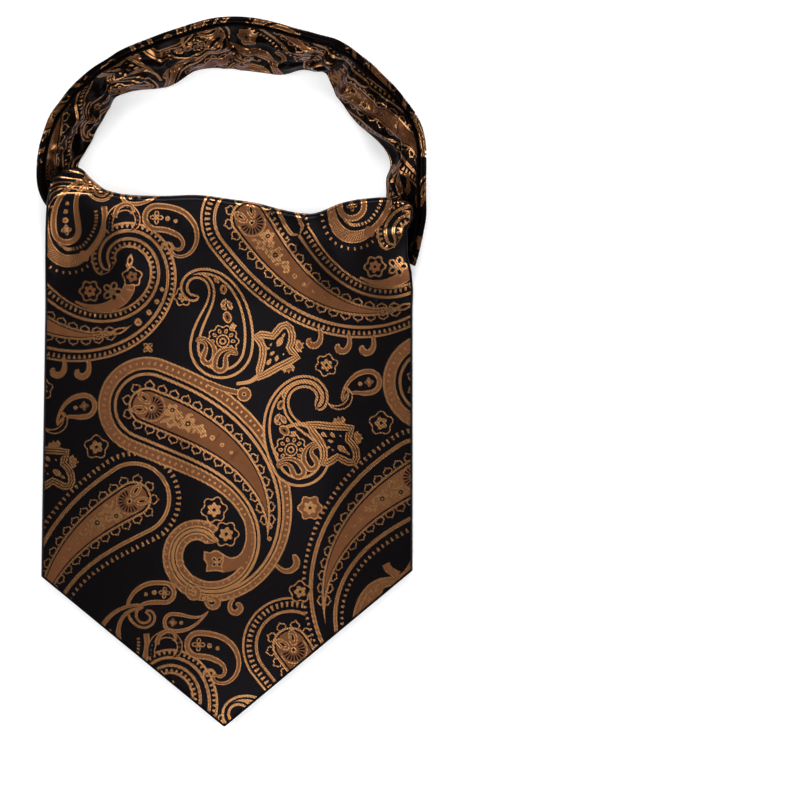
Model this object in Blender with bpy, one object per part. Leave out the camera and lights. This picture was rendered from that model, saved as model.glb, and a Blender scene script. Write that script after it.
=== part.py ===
"""Silk cravat, laid flat with its ends crossed and its neckband open in a loop.

Metres, +Z up.  The cravat lies on the XY plane and its point faces -Y.  The tables and sizes below are in
millimetres, and every point is brought to metres by MM when its mesh is made.
"""
import math
from collections import namedtuple

import bmesh
import bpy
from mathutils import Vector

MM = 0.001

# --- driving sizes, mm ---------------------------------------------------------------------------------
GAP = 0.4                # air between two pieces that touch
BLADE_THICK = 2.0        # a blade is two layers of silk over a woollen interlining
EDGE_SHARE = 0.45        # share of the thickness that is left at a pressed fold
EDGE_INSET = 1.3         # how far a blade's full thickness stays from its pressed fold
ROLL_RADIUS = 3.0        # outer radius of the fold over the crossing
LEG_CLEAR = 0.5          # lowest edge of the front blade above the table, behind the crossing
LEG_LEAN = 0.8           # how far that edge stands in from the fold above it
LEG_SHORTEST = 1.0       # least height of the cloth behind the fold, where it passes over the neckband
BACK_TOP = BLADE_THICK   # the back blade lies on the table
FRONT_REST = BACK_TOP + GAP + BLADE_THICK   # upper face of the front blade where it lies flat

POINT_X, POINT_Y = -3.3, -148.3    # the pointed end of the front blade
LEFT_SHOULDER_Y = -85.2            # where the left edge turns in to the point
RIGHT_SHOULDER_Y = -82.7           # where the right edge turns in to the point

LOOP_X, LOOP_Y = 0.0, 86.9         # centre that the neckband turns about
LAYER_THICK = 1.3                  # one folded layer of the neckband
LAYER_GAP = 0.4                    # air between the two layers of the neckband
HEM_LIFT = 0.5                     # share of a buckle's height by which it lifts the hem
HEM_TURN = 2.2                     # how far the lower fold of the neckband stands in front of its core
HEM_CORE = 0.6                     # height of the core above the table at the lower fold
HEM_POINTS = ((0.0, 0.9), (1.4, 0.3))       # front and rear of the lower fold, outwards and up
FULL_RISE = 9.0                    # below this height the neckband flattens out and its rim gets finer
RIM_DROP = 2.2                     # how far the core ends below the top of the rim
RIM_WIDTH = 2.8                    # the rolled upper edge of the neckband
RIM_OUTER = (-50.0, 0.0, 45.0, 90.0)        # degrees round the roll, up its outer side
RIM_INNER = (-140.0, -185.0, -210.0, -240.0)    # and up its inner side
PLEAT_STEP = 0.9                   # height of one lengthwise pleat on the outside of the neckband
BULGE = 1.8                        # how far the neckband's outside bellies between its edges
FACE_BULGE = 1.2                   # the same for its gathered face
STEP = 3.0                         # degrees between two sections of the neckband
BAND_MARGIN = 1.0                  # how early the blade's cloth clears the neckband as it comes to it

# --- side edges of the front blade: station y, left x, right x -----------------------------------------
Side = namedtuple("Side", "y left right")
SIDES = (
    Side(86.0, -75.8, 76.0),
    Side(77.7, -76.2, 76.0),
    Side(70.2, -77.3, 76.0),
    Side(64.8, -77.6, 75.6),
    Side(58.9, -77.8, 73.0),
    Side(48.0, -78.0, 73.1),
    Side(41.4, -78.1, 74.8),
    Side(34.0, -78.2, 75.6),
    Side(-85.0, -80.0, 75.6),
)

# --- top edge of the front blade, one row for each lengthwise section ----------------------------------
# x and y of the edge, height of its crest, reach of the slope below it, depth of the gathers there,
# and height of one gather.
Column = namedtuple("Column", "x y crest reach gathered gather")
COLUMNS = (
    Column(-76.5, 80.2, 17.6, 52.0, 12.5, 0.5),
    Column(-75.0, 81.8, 18.0, 53.0, 12.3, 0.8),
    Column(-71.0, 84.4, 18.2, 55.0, 11.6, 1.0),
    Column(-67.7, 85.4, 18.2, 56.0, 10.8, 1.0),
    Column(-65.2, 86.1, 18.0, 57.0, 10.0, 1.0),
    Column(-62.3, 84.6, 17.6, 56.0, 8.6, 0.9),
    Column(-59.7, 81.9, 17.0, 55.0, 7.0, 0.8),
    Column(-56.8, 79.4, 16.4, 54.0, 5.6, 0.6),
    Column(-53.5, 76.9, 15.8, 53.0, 4.5, 0.3),
    Column(-45.5, 74.8, 15.0, 52.0, 4.5, 0.0),
    Column(-30.1, 74.0, 14.4, 51.0, 5.0, 0.0),
    Column(-14.2, 74.4, 14.0, 50.0, 5.0, 0.0),
    Column(-1.3, 72.8, 13.6, 48.0, 5.0, 0.0),
    Column(10.9, 71.0, 12.9, 46.0, 5.0, 0.0),
    Column(23.0, 67.9, 12.0, 43.0, 5.0, 0.0),
    Column(32.6, 66.6, 11.6, 41.0, 5.0, 0.0),
    Column(37.6, 67.7, 12.0, 41.0, 5.0, 0.0),
    Column(44.3, 70.6, 13.2, 42.0, 5.5, 0.0),
    Column(50.5, 72.2, 14.4, 42.0, 6.0, 0.0),
    Column(58.0, 73.2, 15.6, 42.0, 7.0, 0.3),
    Column(64.3, 73.5, 16.6, 42.0, 8.0, 0.7),
    Column(70.2, 72.7, 17.8, 42.0, 8.6, 0.8),
    Column(74.6, 71.0, 18.4, 41.0, 9.0, 0.7),
    Column(76.0, 70.2, 18.4, 41.0, 9.0, 0.4),
)
COLUMN_SPACE = 0.7                                  # nearest that two sections come, mm
GATHERS = 4                                         # ridges in the gathered part of a section
ROLL_TURNS = (0.0, 35.0, 65.0, 90.0)                # degrees round the fold, from its back to its top
SLOPE_SHARES = (0.08, 0.2, 0.34, 0.5, 0.66, 0.82, 1.0)
FLAT_SHARES = (0.2, 0.45, 0.7, 0.9)

# --- neckband: one row for each station of its turn, in degrees from +X --------------------------------
# radius of its lower edge (hem), radius of its upper edge (rim), and height of the rim (rise).
Band = namedtuple("Band", "turn hem rim rise")
BANDS = (
    Band(-29.0, 69.4, 87.6, 6.0),
    Band(-25.0, 67.8, 86.4, 8.6),
    Band(-20.0, 66.4, 85.1, 11.8),
    Band(-15.0, 65.8, 84.1, 14.8),
    Band(-10.0, 65.2, 82.5, 17.2),
    Band(-5.0, 64.4, 81.5, 19.0),
    Band(0.0, 65.8, 81.3, 20.2),
    Band(5.0, 64.4, 81.5, 21.0),
    Band(10.0, 60.9, 81.2, 21.6),
    Band(15.0, 57.3, 79.8, 22.0),
    Band(20.0, 54.4, 77.5, 22.4),
    Band(25.0, 52.9, 75.6, 22.7),
    Band(30.0, 52.4, 73.5, 23.0),
    Band(35.0, 52.3, 72.1, 23.3),
    Band(40.0, 53.3, 70.5, 23.6),
    Band(45.0, 54.5, 69.4, 23.8),
    Band(50.0, 51.7, 67.9, 24.0),
    Band(55.0, 48.3, 65.5, 24.2),
    Band(60.0, 43.8, 63.8, 24.5),
    Band(67.0, 41.2, 62.2, 24.7),
    Band(80.0, 39.7, 61.6, 25.0),
    Band(95.0, 40.5, 61.3, 25.0),
    Band(110.0, 42.1, 60.7, 24.6),
    Band(120.0, 41.3, 61.9, 24.3),
    Band(125.0, 41.3, 63.0, 24.1),
    Band(130.0, 42.8, 64.6, 23.9),
    Band(135.0, 45.2, 66.4, 23.6),
    Band(140.0, 49.1, 67.9, 23.4),
    Band(145.0, 52.9, 70.2, 23.1),
    Band(150.0, 56.2, 72.3, 22.8),
    Band(155.0, 56.5, 74.4, 22.4),
    Band(160.0, 57.1, 76.2, 21.9),
    Band(165.0, 58.2, 78.4, 21.3),
    Band(170.0, 59.2, 79.5, 20.6),
    Band(175.0, 61.5, 80.6, 19.6),
    Band(180.0, 64.0, 81.3, 18.2),
    Band(186.0, 62.5, 81.6, 15.6),
    Band(190.0, 62.0, 80.7, 13.0),
    Band(194.0, 62.0, 78.5, 10.4),
)
FACE_SHARES = (0.0, 0.14, 0.28, 0.42, 0.56, 0.7, 0.84, 1.0)    # places up the gathered face
PLEAT_SHARES = (0.32, 0.36, 0.62, 0.66, 0.9)                   # edges of the pleats up the outside
BACK_FROM, BACK_TO = -29.0, 194.0
FACE_FROM, FACE_TO = -26.0, 185.0

# --- buckles and creases across the gathered face ------------------------------------------------------
# place, lean and half width in degrees; height in mm, below nought for a crease.
Buckle = namedtuple("Buckle", "turn lean spread height")
BUCKLES = (
    Buckle(-22.0, -6.0, 3.0, 1.2),
    Buckle(-15.5, -6.0, 2.6, 1.6),
    Buckle(-4.0, 4.0, 3.4, 1.6),
    Buckle(5.0, 3.0, 2.6, -0.8),
    Buckle(13.0, -5.0, 3.4, 2.4),
    Buckle(24.0, 6.0, 4.0, 1.4),
    Buckle(34.5, 3.0, 2.8, 2.6),
    Buckle(41.0, 2.0, 2.6, -1.4),
    Buckle(47.5, -3.0, 2.8, 2.8),
    Buckle(60.0, -6.0, 5.5, 1.6),
    Buckle(72.0, 5.0, 3.0, -1.0),
    Buckle(83.0, -5.0, 3.0, 2.4),
    Buckle(90.0, 3.0, 2.6, -1.0),
    Buckle(97.0, 6.0, 3.2, 2.4),
    Buckle(108.0, 4.0, 5.0, 1.6),
    Buckle(120.0, -3.0, 3.0, -1.2),
    Buckle(127.0, -5.0, 3.0, 2.8),
    Buckle(138.0, 3.0, 4.6, 1.4),
    Buckle(146.0, 0.0, 2.6, -0.8),
    Buckle(152.0, -4.0, 2.8, 2.6),
    Buckle(163.0, 4.0, 2.8, 2.2),
    Buckle(174.0, 0.0, 4.0, -1.2),
)
PUFF = 1.0               # how far the gathered face stands off the outside layer between its buckles
# soft rolls that run along the face: from and to in degrees, place and half width up the face, height
Roll = namedtuple("Roll", "start end place spread height")
ROLLS = (
    Roll(-10.0, 16.0, 0.72, 0.14, 2.4),
    Roll(96.0, 122.0, 0.34, 0.2, 1.2),
    Roll(152.0, 181.0, 0.74, 0.13, 2.2),
)

# --- back blade: its outline, mm, from its point round to the left -------------------------------------
BACK_OUTLINE = (
    (-3.0, -141.0), (72.8, -80.4), (72.8, 37.0), (69.0, 45.0), (61.0, 51.0), (57.5, 61.0),
    (46.0, 65.5), (33.0, 61.5), (22.0, 63.0), (9.0, 66.0), (-14.0, 69.6), (-46.0, 69.8),
    (-62.0, 69.6), (-75.4, 66.0), (-75.8, 40.0), (-77.2, -82.6),
)
BACK_EDGE = 0.5          # rounding of its pressed folds

# --- crossing: the hidden layers under the fold, from the left end of the neckband to the right one ----
CROSS_LEFT, CROSS_RIGHT = -75.0, 58.0
CROSS_BEHIND = -58.0     # left of this the crossing stops short of the neckband's end
CROSS_SHARES = (0.0, 0.06, 0.16, 0.28, 0.4, 0.5, 0.6)  # places down the slope, as shares of its reach
CROSS_START = 4.0        # where it starts below the blade's fold
CROSS_AWAY = 2.0         # how far it stays in front of the neckband's end
CROSS_TURN = 0.22        # share of its height that is rounded off at its folds
CROSS_THINNEST = 0.9     # its least height


def hermite(low, high, slope_low, slope_high, span, share):
    """Cubic from low to high with the given slopes at its ends."""
    square, cube = share * share, share * share * share
    return (
        (2 * cube - 3 * square + 1) * low
        + (cube - 2 * square + share) * span * slope_low
        + (3 * square - 2 * cube) * high
        + (cube - square) * span * slope_high
    )


def read(table, station, value, at):
    """Smooth value of one named column of a table at a station between its rows."""
    rows = sorted((getattr(row, station), getattr(row, value)) for row in table)
    if at <= rows[0][0]:
        return rows[0][1]
    if at >= rows[-1][0]:
        return rows[-1][1]
    index = max(i for i in range(len(rows) - 1) if rows[i][0] <= at)

    def slope(i):
        before, after = max(i - 1, 0), min(i + 1, len(rows) - 1)
        return (rows[after][1] - rows[before][1]) / (rows[after][0] - rows[before][0])

    (start, low), (end, high) = rows[index], rows[index + 1]
    span = end - start
    return hermite(low, high, slope(index), slope(index + 1), span, (at - start) / span)


def fade(share):
    """Falls smoothly from one at 0 to nought at 1."""
    share = min(max(share, 0.0), 1.0)
    return (1 - share) * (1 - share) * (1 + 2 * share)


def bell(distance, spread):
    """Height of a soft ridge at a distance from its middle."""
    return fade(abs(distance) / (2 * spread))


# --- front blade ---------------------------------------------------------------------------------------
def across(x):
    """Share of the blade's width at which a lengthwise section runs."""
    return (x - COLUMNS[0].x) / (COLUMNS[-1].x - COLUMNS[0].x)


def blade_x(share, y):
    """Place across the blade of a section, between its two side edges."""
    left = read(SIDES, "y", "left", y)
    right = read(SIDES, "y", "right", y)
    return left + share * (right - left)


def blade_end(share):
    """Where a section meets the slanting edges of the pointed end."""
    point_share = (POINT_X - SIDES[-1].left) / (SIDES[-1].right - SIDES[-1].left)
    if share < point_share:
        return LEFT_SHOULDER_Y + (POINT_Y - LEFT_SHOULDER_Y) * share / point_share
    return RIGHT_SHOULDER_Y + (POINT_Y - RIGHT_SHOULDER_Y) * (1 - share) / (1 - point_share)


def slope_height(column, down):
    """Height of the blade's upper face at a distance down from its fold."""
    return FRONT_REST + (column.crest - FRONT_REST) * fade((down - ROLL_RADIUS) / column.reach)


def band_height(x, y):
    """Height that clears the neckband's gathered face at a place on the plan, or nought off it."""
    east, north = x - LOOP_X, y - LOOP_Y
    turn = math.degrees(math.atan2(north, east))
    if turn < -90:
        turn += 360
    if not BACK_FROM - STEP < turn < BACK_TO + STEP:
        return 0.0
    section = Section(turn)
    run = section.end[0] - section.start[0]
    share = (math.hypot(east, north) - section.hem - section.start[0] + BAND_MARGIN) / run
    if share < -section.start[0] / run:
        return 0.0
    lift = LAYER_GAP / 2 + LAYER_THICK + buckle_lift(turn, share)
    climb = section.start[1] + (section.end[1] - section.start[1]) * min(share, 1.0)
    return climb + lift / section.inward[1] + 2 * GAP


def blade_profile(column):
    """Upper points of one lengthwise section as (y, z), with the way out of the cloth and its relief."""
    top, crest = column.y, column.crest
    x = blade_x(across(column.x), top)
    foot = max(LEG_CLEAR, band_height(x, top), band_height(x, top - ROLL_RADIUS))
    waist = crest - ROLL_RADIUS
    foot = min(foot, waist - LEG_SHORTEST)
    points = [(top - LEG_LEAN, foot, 0.0, 0.0), (top - LEG_LEAN / 2, (foot + waist) / 2, 0.0, 0.0)]
    for turn in ROLL_TURNS:
        radians = math.radians(turn)
        y = top - ROLL_RADIUS * (1 - math.cos(radians))
        points.append((y, waist + ROLL_RADIUS * math.sin(radians), turn, 0.0))
    half_ridges = 2 * GATHERS
    for index in range(1, half_ridges + 1):
        down = ROLL_RADIUS + column.gathered * index / half_ridges
        relief = column.gather if index % 2 else 0.0
        points.append((top - down, slope_height(column, down), 90.0, relief))
    start = ROLL_RADIUS + column.gathered
    for share in SLOPE_SHARES:
        down = start + (ROLL_RADIUS + column.reach - start) * share
        points.append((top - down, slope_height(column, down), 90.0, 0.0))
    slope_end, end = points[-1][0], blade_end(across(column.x))
    for share in FLAT_SHARES:
        points.append((slope_end + (end - slope_end) * share, FRONT_REST, 90.0, 0.0))
    points.append((end + EDGE_INSET, FRONT_REST, 90.0, 0.0))
    points.append((end, FRONT_REST, 90.0, 0.0))
    return points


def underside(profile, down):
    """Point under the blade, a gap below its lower face, at a distance down from its fold."""
    top = profile[0][0] + LEG_LEAN
    for index in range(1, len(profile)):
        low = top - profile[index][0]
        if low < down or profile[index][2] < 90.0:
            continue
        high = top - profile[index - 1][0]
        share = (down - high) / (low - high)
        (y_1, z_1), (y_2, z_2) = (under_point(profile, i) for i in (index - 1, index))
        return y_1 + (y_2 - y_1) * share, z_1 + (z_2 - z_1) * share
    return profile[-1][0], BACK_TOP


def under_point(profile, index):
    """One point of a section moved through the cloth and a gap past its lower face."""
    out_y, out_z = outward(profile, index)
    depth = BLADE_THICK + GAP
    return profile[index][0] - out_y * depth, profile[index][1] - out_z * depth


def outward(profile, index):
    """Unit vector out of the cloth in the section's own plane."""
    if profile[index][2] < 90.0:
        radians = math.radians(profile[index][2])
        return math.cos(radians), math.sin(radians)
    before, after = profile[index - 1], profile[min(index + 1, len(profile) - 1)]
    run, rise = before[0] - after[0], before[1] - after[1]
    length = math.hypot(run, rise)
    return -rise / length, run / length


def blade_columns():
    """The sections in order, with one more just inside each pressed side fold."""
    rows = list(COLUMNS)
    for place in (COLUMNS[0].x + EDGE_INSET, COLUMNS[-1].x - EDGE_INSET):
        if min(abs(place - row.x) for row in rows) > COLUMN_SPACE:
            rows.append(Column(place, *(read(COLUMNS, "x", value, place) for value in Column._fields[1:])))
    return sorted(rows)


def build_front_blade():
    """The front blade: up behind the crossing, over it, and down to the point."""
    upper, lower = [], []
    columns = blade_columns()
    for number, column in enumerate(columns):
        share = across(column.x)
        profile = blade_profile(column)
        upper.append([])
        lower.append([])
        for index, (y, z, _, relief) in enumerate(profile):
            out_y, out_z = outward(profile, index)
            at_edge = number in (0, len(columns) - 1) or index in (0, len(profile) - 1)
            spare = BLADE_THICK * (1 - EDGE_SHARE) / 2 if at_edge else 0.0
            x = blade_x(share, y)
            raised = relief - spare
            upper[-1].append((x, y + out_y * raised, z + out_z * raised))
            sunk = BLADE_THICK - spare
            lower[-1].append((x, y - out_y * sunk, z - out_z * sunk))
    return wall("front_blade", upper, lower)


# --- neckband ------------------------------------------------------------------------------------------
def roll_lift(roll, turn, share):
    """Lift of the gathered face by one lengthwise roll."""
    middle, half = (roll.start + roll.end) / 2, (roll.end - roll.start) / 2
    return roll.height * fade(abs(turn - middle) / half) * bell(share - roll.place, roll.spread)


def buckle_lift(turn, share):
    """Lift of the gathered face by all its buckles and rolls."""
    lift = PUFF * min(1.0, 4.0 * share, 4.0 * (1.0 - share))
    for buckle in BUCKLES:
        centre = buckle.turn + buckle.lean * (share - 0.5)
        lift += buckle.height * bell(turn - centre, buckle.spread)
    edge = min(1.0, 0.5 + 2.5 * share) * (1.0 if share < 0.7 else 1.0 - 0.8 * (share - 0.7) / 0.3)
    lift = lift * edge + sum(roll_lift(roll, turn, share) for roll in ROLLS)
    ends = min(fade(1 - (turn - FACE_FROM) / 6.0), fade(1 - (FACE_TO - turn) / 6.0))
    return max(lift, 0.0) * ends


class Section:
    """The neckband cut across at one turn; r runs outwards from the hem and z up, in mm."""

    def __init__(self, turn):
        self.turn = turn
        self.hem = read(BANDS, "turn", "hem", turn)
        self.width = read(BANDS, "turn", "rim", turn) - self.hem
        self.rise = read(BANDS, "turn", "rise", turn)
        self.size = min(1.0, self.rise / FULL_RISE)
        self.start = (HEM_TURN, HEM_CORE)
        self.end = (self.width - RIM_WIDTH, self.rise - RIM_DROP * self.size)
        run, climb = self.end[0] - self.start[0], self.end[1] - self.start[1]
        length = math.hypot(run, climb)
        self.inward = (-climb / length, run / length)

    def core(self, share, offset, bulge=BULGE):
        """A point up the bellied core line, moved off it towards the inside of the loop."""
        belly = bulge * self.size * math.sin(math.pi * min(max(share, 0.0), 1.0))
        r = self.start[0] + (self.end[0] - self.start[0]) * share
        z = self.start[1] + (self.end[1] - self.start[1]) * share
        return r + self.inward[0] * (offset - belly), z + self.inward[1] * (offset - belly)

    def place(self, point):
        """A point of the section in the cravat's own frame."""
        radians = math.radians(self.turn)
        radius = self.hem + point[0]
        return LOOP_X + radius * math.cos(radians), LOOP_Y + radius * math.sin(radians), max(point[1], 0.0)

    def back_sides(self):
        """Outer and inner points of the outside layer, with its pleats and its rolled rim."""
        near, far = -LAYER_GAP / 2, -LAYER_GAP / 2 - LAYER_THICK * (1 + self.size) / 2
        step = PLEAT_STEP * self.size
        outer = [(self.core(0.0, far)[0], 0.0)]
        inner = [(self.core(0.0, near)[0], 0.0)]
        for share, raised in zip(PLEAT_SHARES, (step, 0.0, step, 0.0, 0.0)):
            outer.append(self.core(share, far - raised))
            inner.append(self.core(share, near))
        outer += [self.bead(turn) for turn in RIM_OUTER]
        inner += [self.bead(turn) for turn in RIM_INNER]
        return outer, inner

    def bead(self, turn):
        """A point round the rolled rim."""
        radius, radians = RIM_WIDTH / 2 * self.size, math.radians(turn)
        return (self.width - radius + radius * math.cos(radians),
                self.rise - radius + radius * math.sin(radians))

    def face_sides(self):
        """Visible and hidden points of the gathered face."""
        hem_lift = HEM_LIFT * buckle_lift(self.turn, 0.0)
        seen, hidden = ([(r, z + hem_lift)] for r, z in HEM_POINTS)
        for share in FACE_SHARES:
            lift = buckle_lift(self.turn, share)
            seen.append(self.core(share, LAYER_GAP / 2 + LAYER_THICK * self.size + lift, FACE_BULGE))
            hidden.append(self.core(share, LAYER_GAP / 2 + lift, FACE_BULGE))
        return seen, hidden


def turns(start, end):
    """Evenly spaced turns from start to end, both included."""
    count = max(1, round((end - start) / STEP))
    return [start + (end - start) * index / count for index in range(count + 1)]


def build_neckband_back():
    """The outside layer of the neckband, pleated lengthwise, with the rolled rim."""
    outer, inner = [], []
    for turn in turns(BACK_FROM, BACK_TO):
        section = Section(turn)
        outside, inside = section.back_sides()
        outer.append([section.place(point) for point in outside])
        inner.append([section.place(point) for point in inside])
    return wall("neckband_back", outer, inner)


def build_neckband_face():
    """The gathered face of the neckband, on the inside of the loop."""
    seen, hidden = [], []
    for turn in turns(FACE_FROM, FACE_TO):
        section = Section(turn)
        front, rear = section.face_sides()
        seen.append([section.place(point) for point in front])
        hidden.append([section.place(point) for point in rear])
    return wall("neckband_face", seen, hidden)


# --- crossing and back blade ---------------------------------------------------------------------------
def build_crossing():
    """The folded layers that cross under the front blade, made from the blade's own underside."""
    upper, lower = [], []
    floor = BACK_TOP + GAP
    columns = [column for column in COLUMNS if CROSS_LEFT <= column.x <= CROSS_RIGHT]
    end_slope = math.tan(math.radians(BACK_TO))
    for number, column in enumerate(columns):
        profile = blade_profile(column)
        nearest = CROSS_START
        if column.x < CROSS_BEHIND:
            band_end = LOOP_Y + (column.x - LOOP_X) * end_slope
            nearest = max(nearest, column.y - band_end + CROSS_AWAY)
        farthest = ROLL_RADIUS + CROSS_SHARES[-1] * column.reach
        at_end = number in (0, len(columns) - 1)
        upper.append([])
        lower.append([])
        for place, share in enumerate(CROSS_SHARES):
            down = nearest + (farthest - nearest) * share / CROSS_SHARES[-1]
            y, z = underside(profile, down)
            spare = CROSS_TURN * (z - floor) if at_end or place in (0, len(CROSS_SHARES) - 1) else 0.0
            x = blade_x(across(column.x), y)
            upper[-1].append((x, y, max(z - spare, floor + CROSS_THINNEST)))
            lower[-1].append((x, y, floor + spare / 2))
    return wall("crossing", upper, lower)


def build_back_blade():
    """The back blade, flat on the table under the front one."""
    curve = bpy.data.curves.new("back_blade", "CURVE")
    curve.dimensions = "2D"
    curve.fill_mode = "BOTH"
    curve.extrude = (BLADE_THICK / 2 - BACK_EDGE) * MM
    curve.bevel_depth = BACK_EDGE * MM
    curve.bevel_resolution = 0
    curve.offset = -BACK_EDGE * MM
    spline = curve.splines.new("POLY")
    spline.points.add(len(BACK_OUTLINE) - 1)
    for point, (x, y) in zip(spline.points, BACK_OUTLINE):
        point.co = (x * MM, y * MM, 0.0, 1.0)
    spline.use_cyclic_u = True
    blade = bpy.data.objects.new("back_blade", curve)
    blade.location.z = BLADE_THICK / 2 * MM
    return blade


# --- meshes, materials and the collection --------------------------------------------------------------
def wall(name, upper, lower):
    """A closed wall between two grids of points, upper[i][j] over lower[i][j]."""
    shape = bmesh.new()
    tops = [[shape.verts.new(Vector(point) * MM) for point in row] for row in upper]
    bottoms = [[shape.verts.new(Vector(point) * MM) for point in row] for row in lower]
    last_row, last_column = len(tops) - 1, len(tops[0]) - 1
    for i in range(last_row):
        for j in range(last_column):
            shape.faces.new((tops[i][j], tops[i][j + 1], tops[i + 1][j + 1], tops[i + 1][j]))
            shape.faces.new((bottoms[i + 1][j], bottoms[i + 1][j + 1], bottoms[i][j + 1], bottoms[i][j]))
        for j, flip in ((0, False), (last_column, True)):
            side = (tops[i][j], tops[i + 1][j], bottoms[i + 1][j], bottoms[i][j])
            shape.faces.new(reversed(side) if flip else side)
    for j in range(last_column):
        for i, flip in ((0, True), (last_row, False)):
            side = (tops[i][j], tops[i][j + 1], bottoms[i][j + 1], bottoms[i][j])
            shape.faces.new(reversed(side) if flip else side)
    bmesh.ops.recalc_face_normals(shape, faces=shape.faces)
    mesh = bpy.data.meshes.new(name)
    shape.to_mesh(mesh)
    shape.free()
    return bpy.data.objects.new(name, mesh)


def silk(name, colour, roughness):
    """A plain satin-silk material."""
    material = bpy.data.materials.new(name)
    material.use_nodes = True
    shader = material.node_tree.nodes["Principled BSDF"]
    shader.inputs["Base Color"].default_value = (*colour, 1.0)
    shader.inputs["Roughness"].default_value = roughness
    shader.inputs["Metallic"].default_value = 0.0
    return material


def main():
    for thing in list(bpy.data.objects):
        bpy.data.objects.remove(thing, do_unlink=True)
    cravat = bpy.data.collections.new("silk_cravat")
    bpy.context.scene.collection.children.link(cravat)
    pieces = (
        (build_front_blade(), silk("paisley_silk_front", (0.050, 0.026, 0.014), 0.42)),
        (build_back_blade(), silk("paisley_silk_back", (0.040, 0.022, 0.014), 0.45)),
        (build_crossing(), silk("paisley_silk_crossing", (0.034, 0.019, 0.012), 0.45)),
        (build_neckband_face(), silk("paisley_silk_face", (0.045, 0.024, 0.013), 0.40)),
        (build_neckband_back(), silk("paisley_silk_rim", (0.038, 0.021, 0.013), 0.42)),
    )
    for piece, material in pieces:
        piece.data.materials.append(material)
        cravat.objects.link(piece)


main()
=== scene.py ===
"""Looks of a silk cravat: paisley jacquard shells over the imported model, with floor, light and camera.

Tables and sizes are in millimetres in the cravat's own frame, +Y up the cravat and +Z off the table, and
every point is brought to metres by MM when its mesh is made.
"""
import math
from collections import namedtuple

import bmesh
import bpy
import numpy as np
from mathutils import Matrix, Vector
from mathutils.geometry import delaunay_2d_cdt


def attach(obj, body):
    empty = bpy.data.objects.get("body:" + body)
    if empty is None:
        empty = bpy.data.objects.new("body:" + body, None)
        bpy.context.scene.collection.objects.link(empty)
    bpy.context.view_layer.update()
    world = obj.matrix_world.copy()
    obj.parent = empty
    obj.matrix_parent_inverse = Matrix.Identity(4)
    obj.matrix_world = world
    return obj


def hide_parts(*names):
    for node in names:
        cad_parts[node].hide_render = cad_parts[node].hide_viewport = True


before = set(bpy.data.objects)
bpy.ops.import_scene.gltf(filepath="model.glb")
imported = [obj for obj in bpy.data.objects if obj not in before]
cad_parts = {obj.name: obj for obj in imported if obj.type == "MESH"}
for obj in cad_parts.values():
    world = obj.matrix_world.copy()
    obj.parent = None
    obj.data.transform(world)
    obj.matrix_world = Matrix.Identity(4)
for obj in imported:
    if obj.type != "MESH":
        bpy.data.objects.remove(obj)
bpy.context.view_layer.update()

MM = 0.001

# --- driving sizes, mm ----------------------------------------------------------------------------
BLADE_THICK = 2.0          # two layers of silk over a woollen interlining
GAP = 0.4                  # air between two pieces that touch
ROLL_RADIUS = 3.0          # outer radius of the fold over the crossing
LEG_CLEAR = 0.5            # lowest edge of the front blade above the table, behind the crossing
LEG_LEAN = 0.8             # how far that edge stands in from the fold above it
LEG_SHORTEST = 1.0         # least height of the cloth behind the fold
BACK_TOP = BLADE_THICK
FRONT_REST = BACK_TOP + GAP + BLADE_THICK   # upper face of the front blade where it lies flat

POINT = (-3.3, -148.3)     # the pointed end of the front blade
SHOULDERS = (-85.2, -82.7)  # where its left and right edges turn in to the point

LOOP = (0.0, 86.9)         # centre that the neckband turns about
LAYER_THICK = 1.3          # one folded layer of the neckband
LAYER_GAP = 0.4            # air between the two layers of the neckband
HEM_LIFT = 0.5             # share of a buckle's height by which it lifts the hem
HEM_START = (2.2, 0.6)     # where the neckband's core line starts, outwards from the hem and up
FULL_RISE = 9.0            # below this height the neckband flattens out and its rim gets finer
RIM_DROP = 2.2             # how far the core ends below the top of the rim
RIM_WIDTH = 2.8            # the rolled upper edge of the neckband
PLEAT_STEP = 0.9           # height of one lengthwise pleat on the outside of the neckband
BULGE = 1.8                # how far the neckband's outside bellies between its edges
FACE_BULGE = 1.2           # the same for its gathered face
PUFF = 1.0                 # how far the gathered face stands off the outside layer
BAND_MARGIN = 1.0          # how early the blade's cloth clears the neckband as it comes to it

BACK_SEAM = -3.0           # where the folded edges meet on the back

# --- sizes of the shells, mm ----------------------------------------------------------------------
MERGE = 3e-7               # points nearer than this are one, metres
FRONT_HALF = 0.95          # half the thickness of the front blade
BACK_HALF = 0.95           # and of the back blade
FACE_HALF = 0.6            # and of the neckband's face
BACK_BAND_HALF = 0.6       # and of its outside layer

CROSS_LAYERS = 4           # folded layers in the crossing
CROSS_LEFT, CROSS_RIGHT = -75.0, 58.0
CROSS_BEHIND = -58.0       # left of this the crossing stops short of the neckband's end
CROSS_START = 4.0          # where it starts below the blade's fold
CROSS_AWAY = 2.0           # how far it stays in front of the neckband's end
CROSS_REACH = 0.6          # how far down the slope it reaches, as a share of the slope
CROSS_THINNEST = 0.9       # its least height

FACE_LENGTH, FACE_HEIGHT = 238.0, 27.0      # flat cut of the gathered face
BACK_LENGTH = 290.0                         # flat cut of the outside layer
HEM_MIDDLE = (0.75, 0.66)                   # middle of the turned hem, outwards from the hem line and up
HEM_LENGTH = 1.2                            # how much of the face is turned under there
# places up the outside layer as shares of its height, with how far each stands out of a pleat's full step
PLEATS = ((0.0, 0.0), (0.3, 1.0), (0.33, 1.0), (0.36, 0.0), (0.6, 1.0), (0.63, 1.0), (0.66, 0.0), (0.88, 0.0))
RIM_TURNS = (-30.0, 0.0, 30.0, 60.0, 90.0, 120.0, 150.0, 180.0, 210.0, 235.0)   # degrees round the rolled rim
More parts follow.
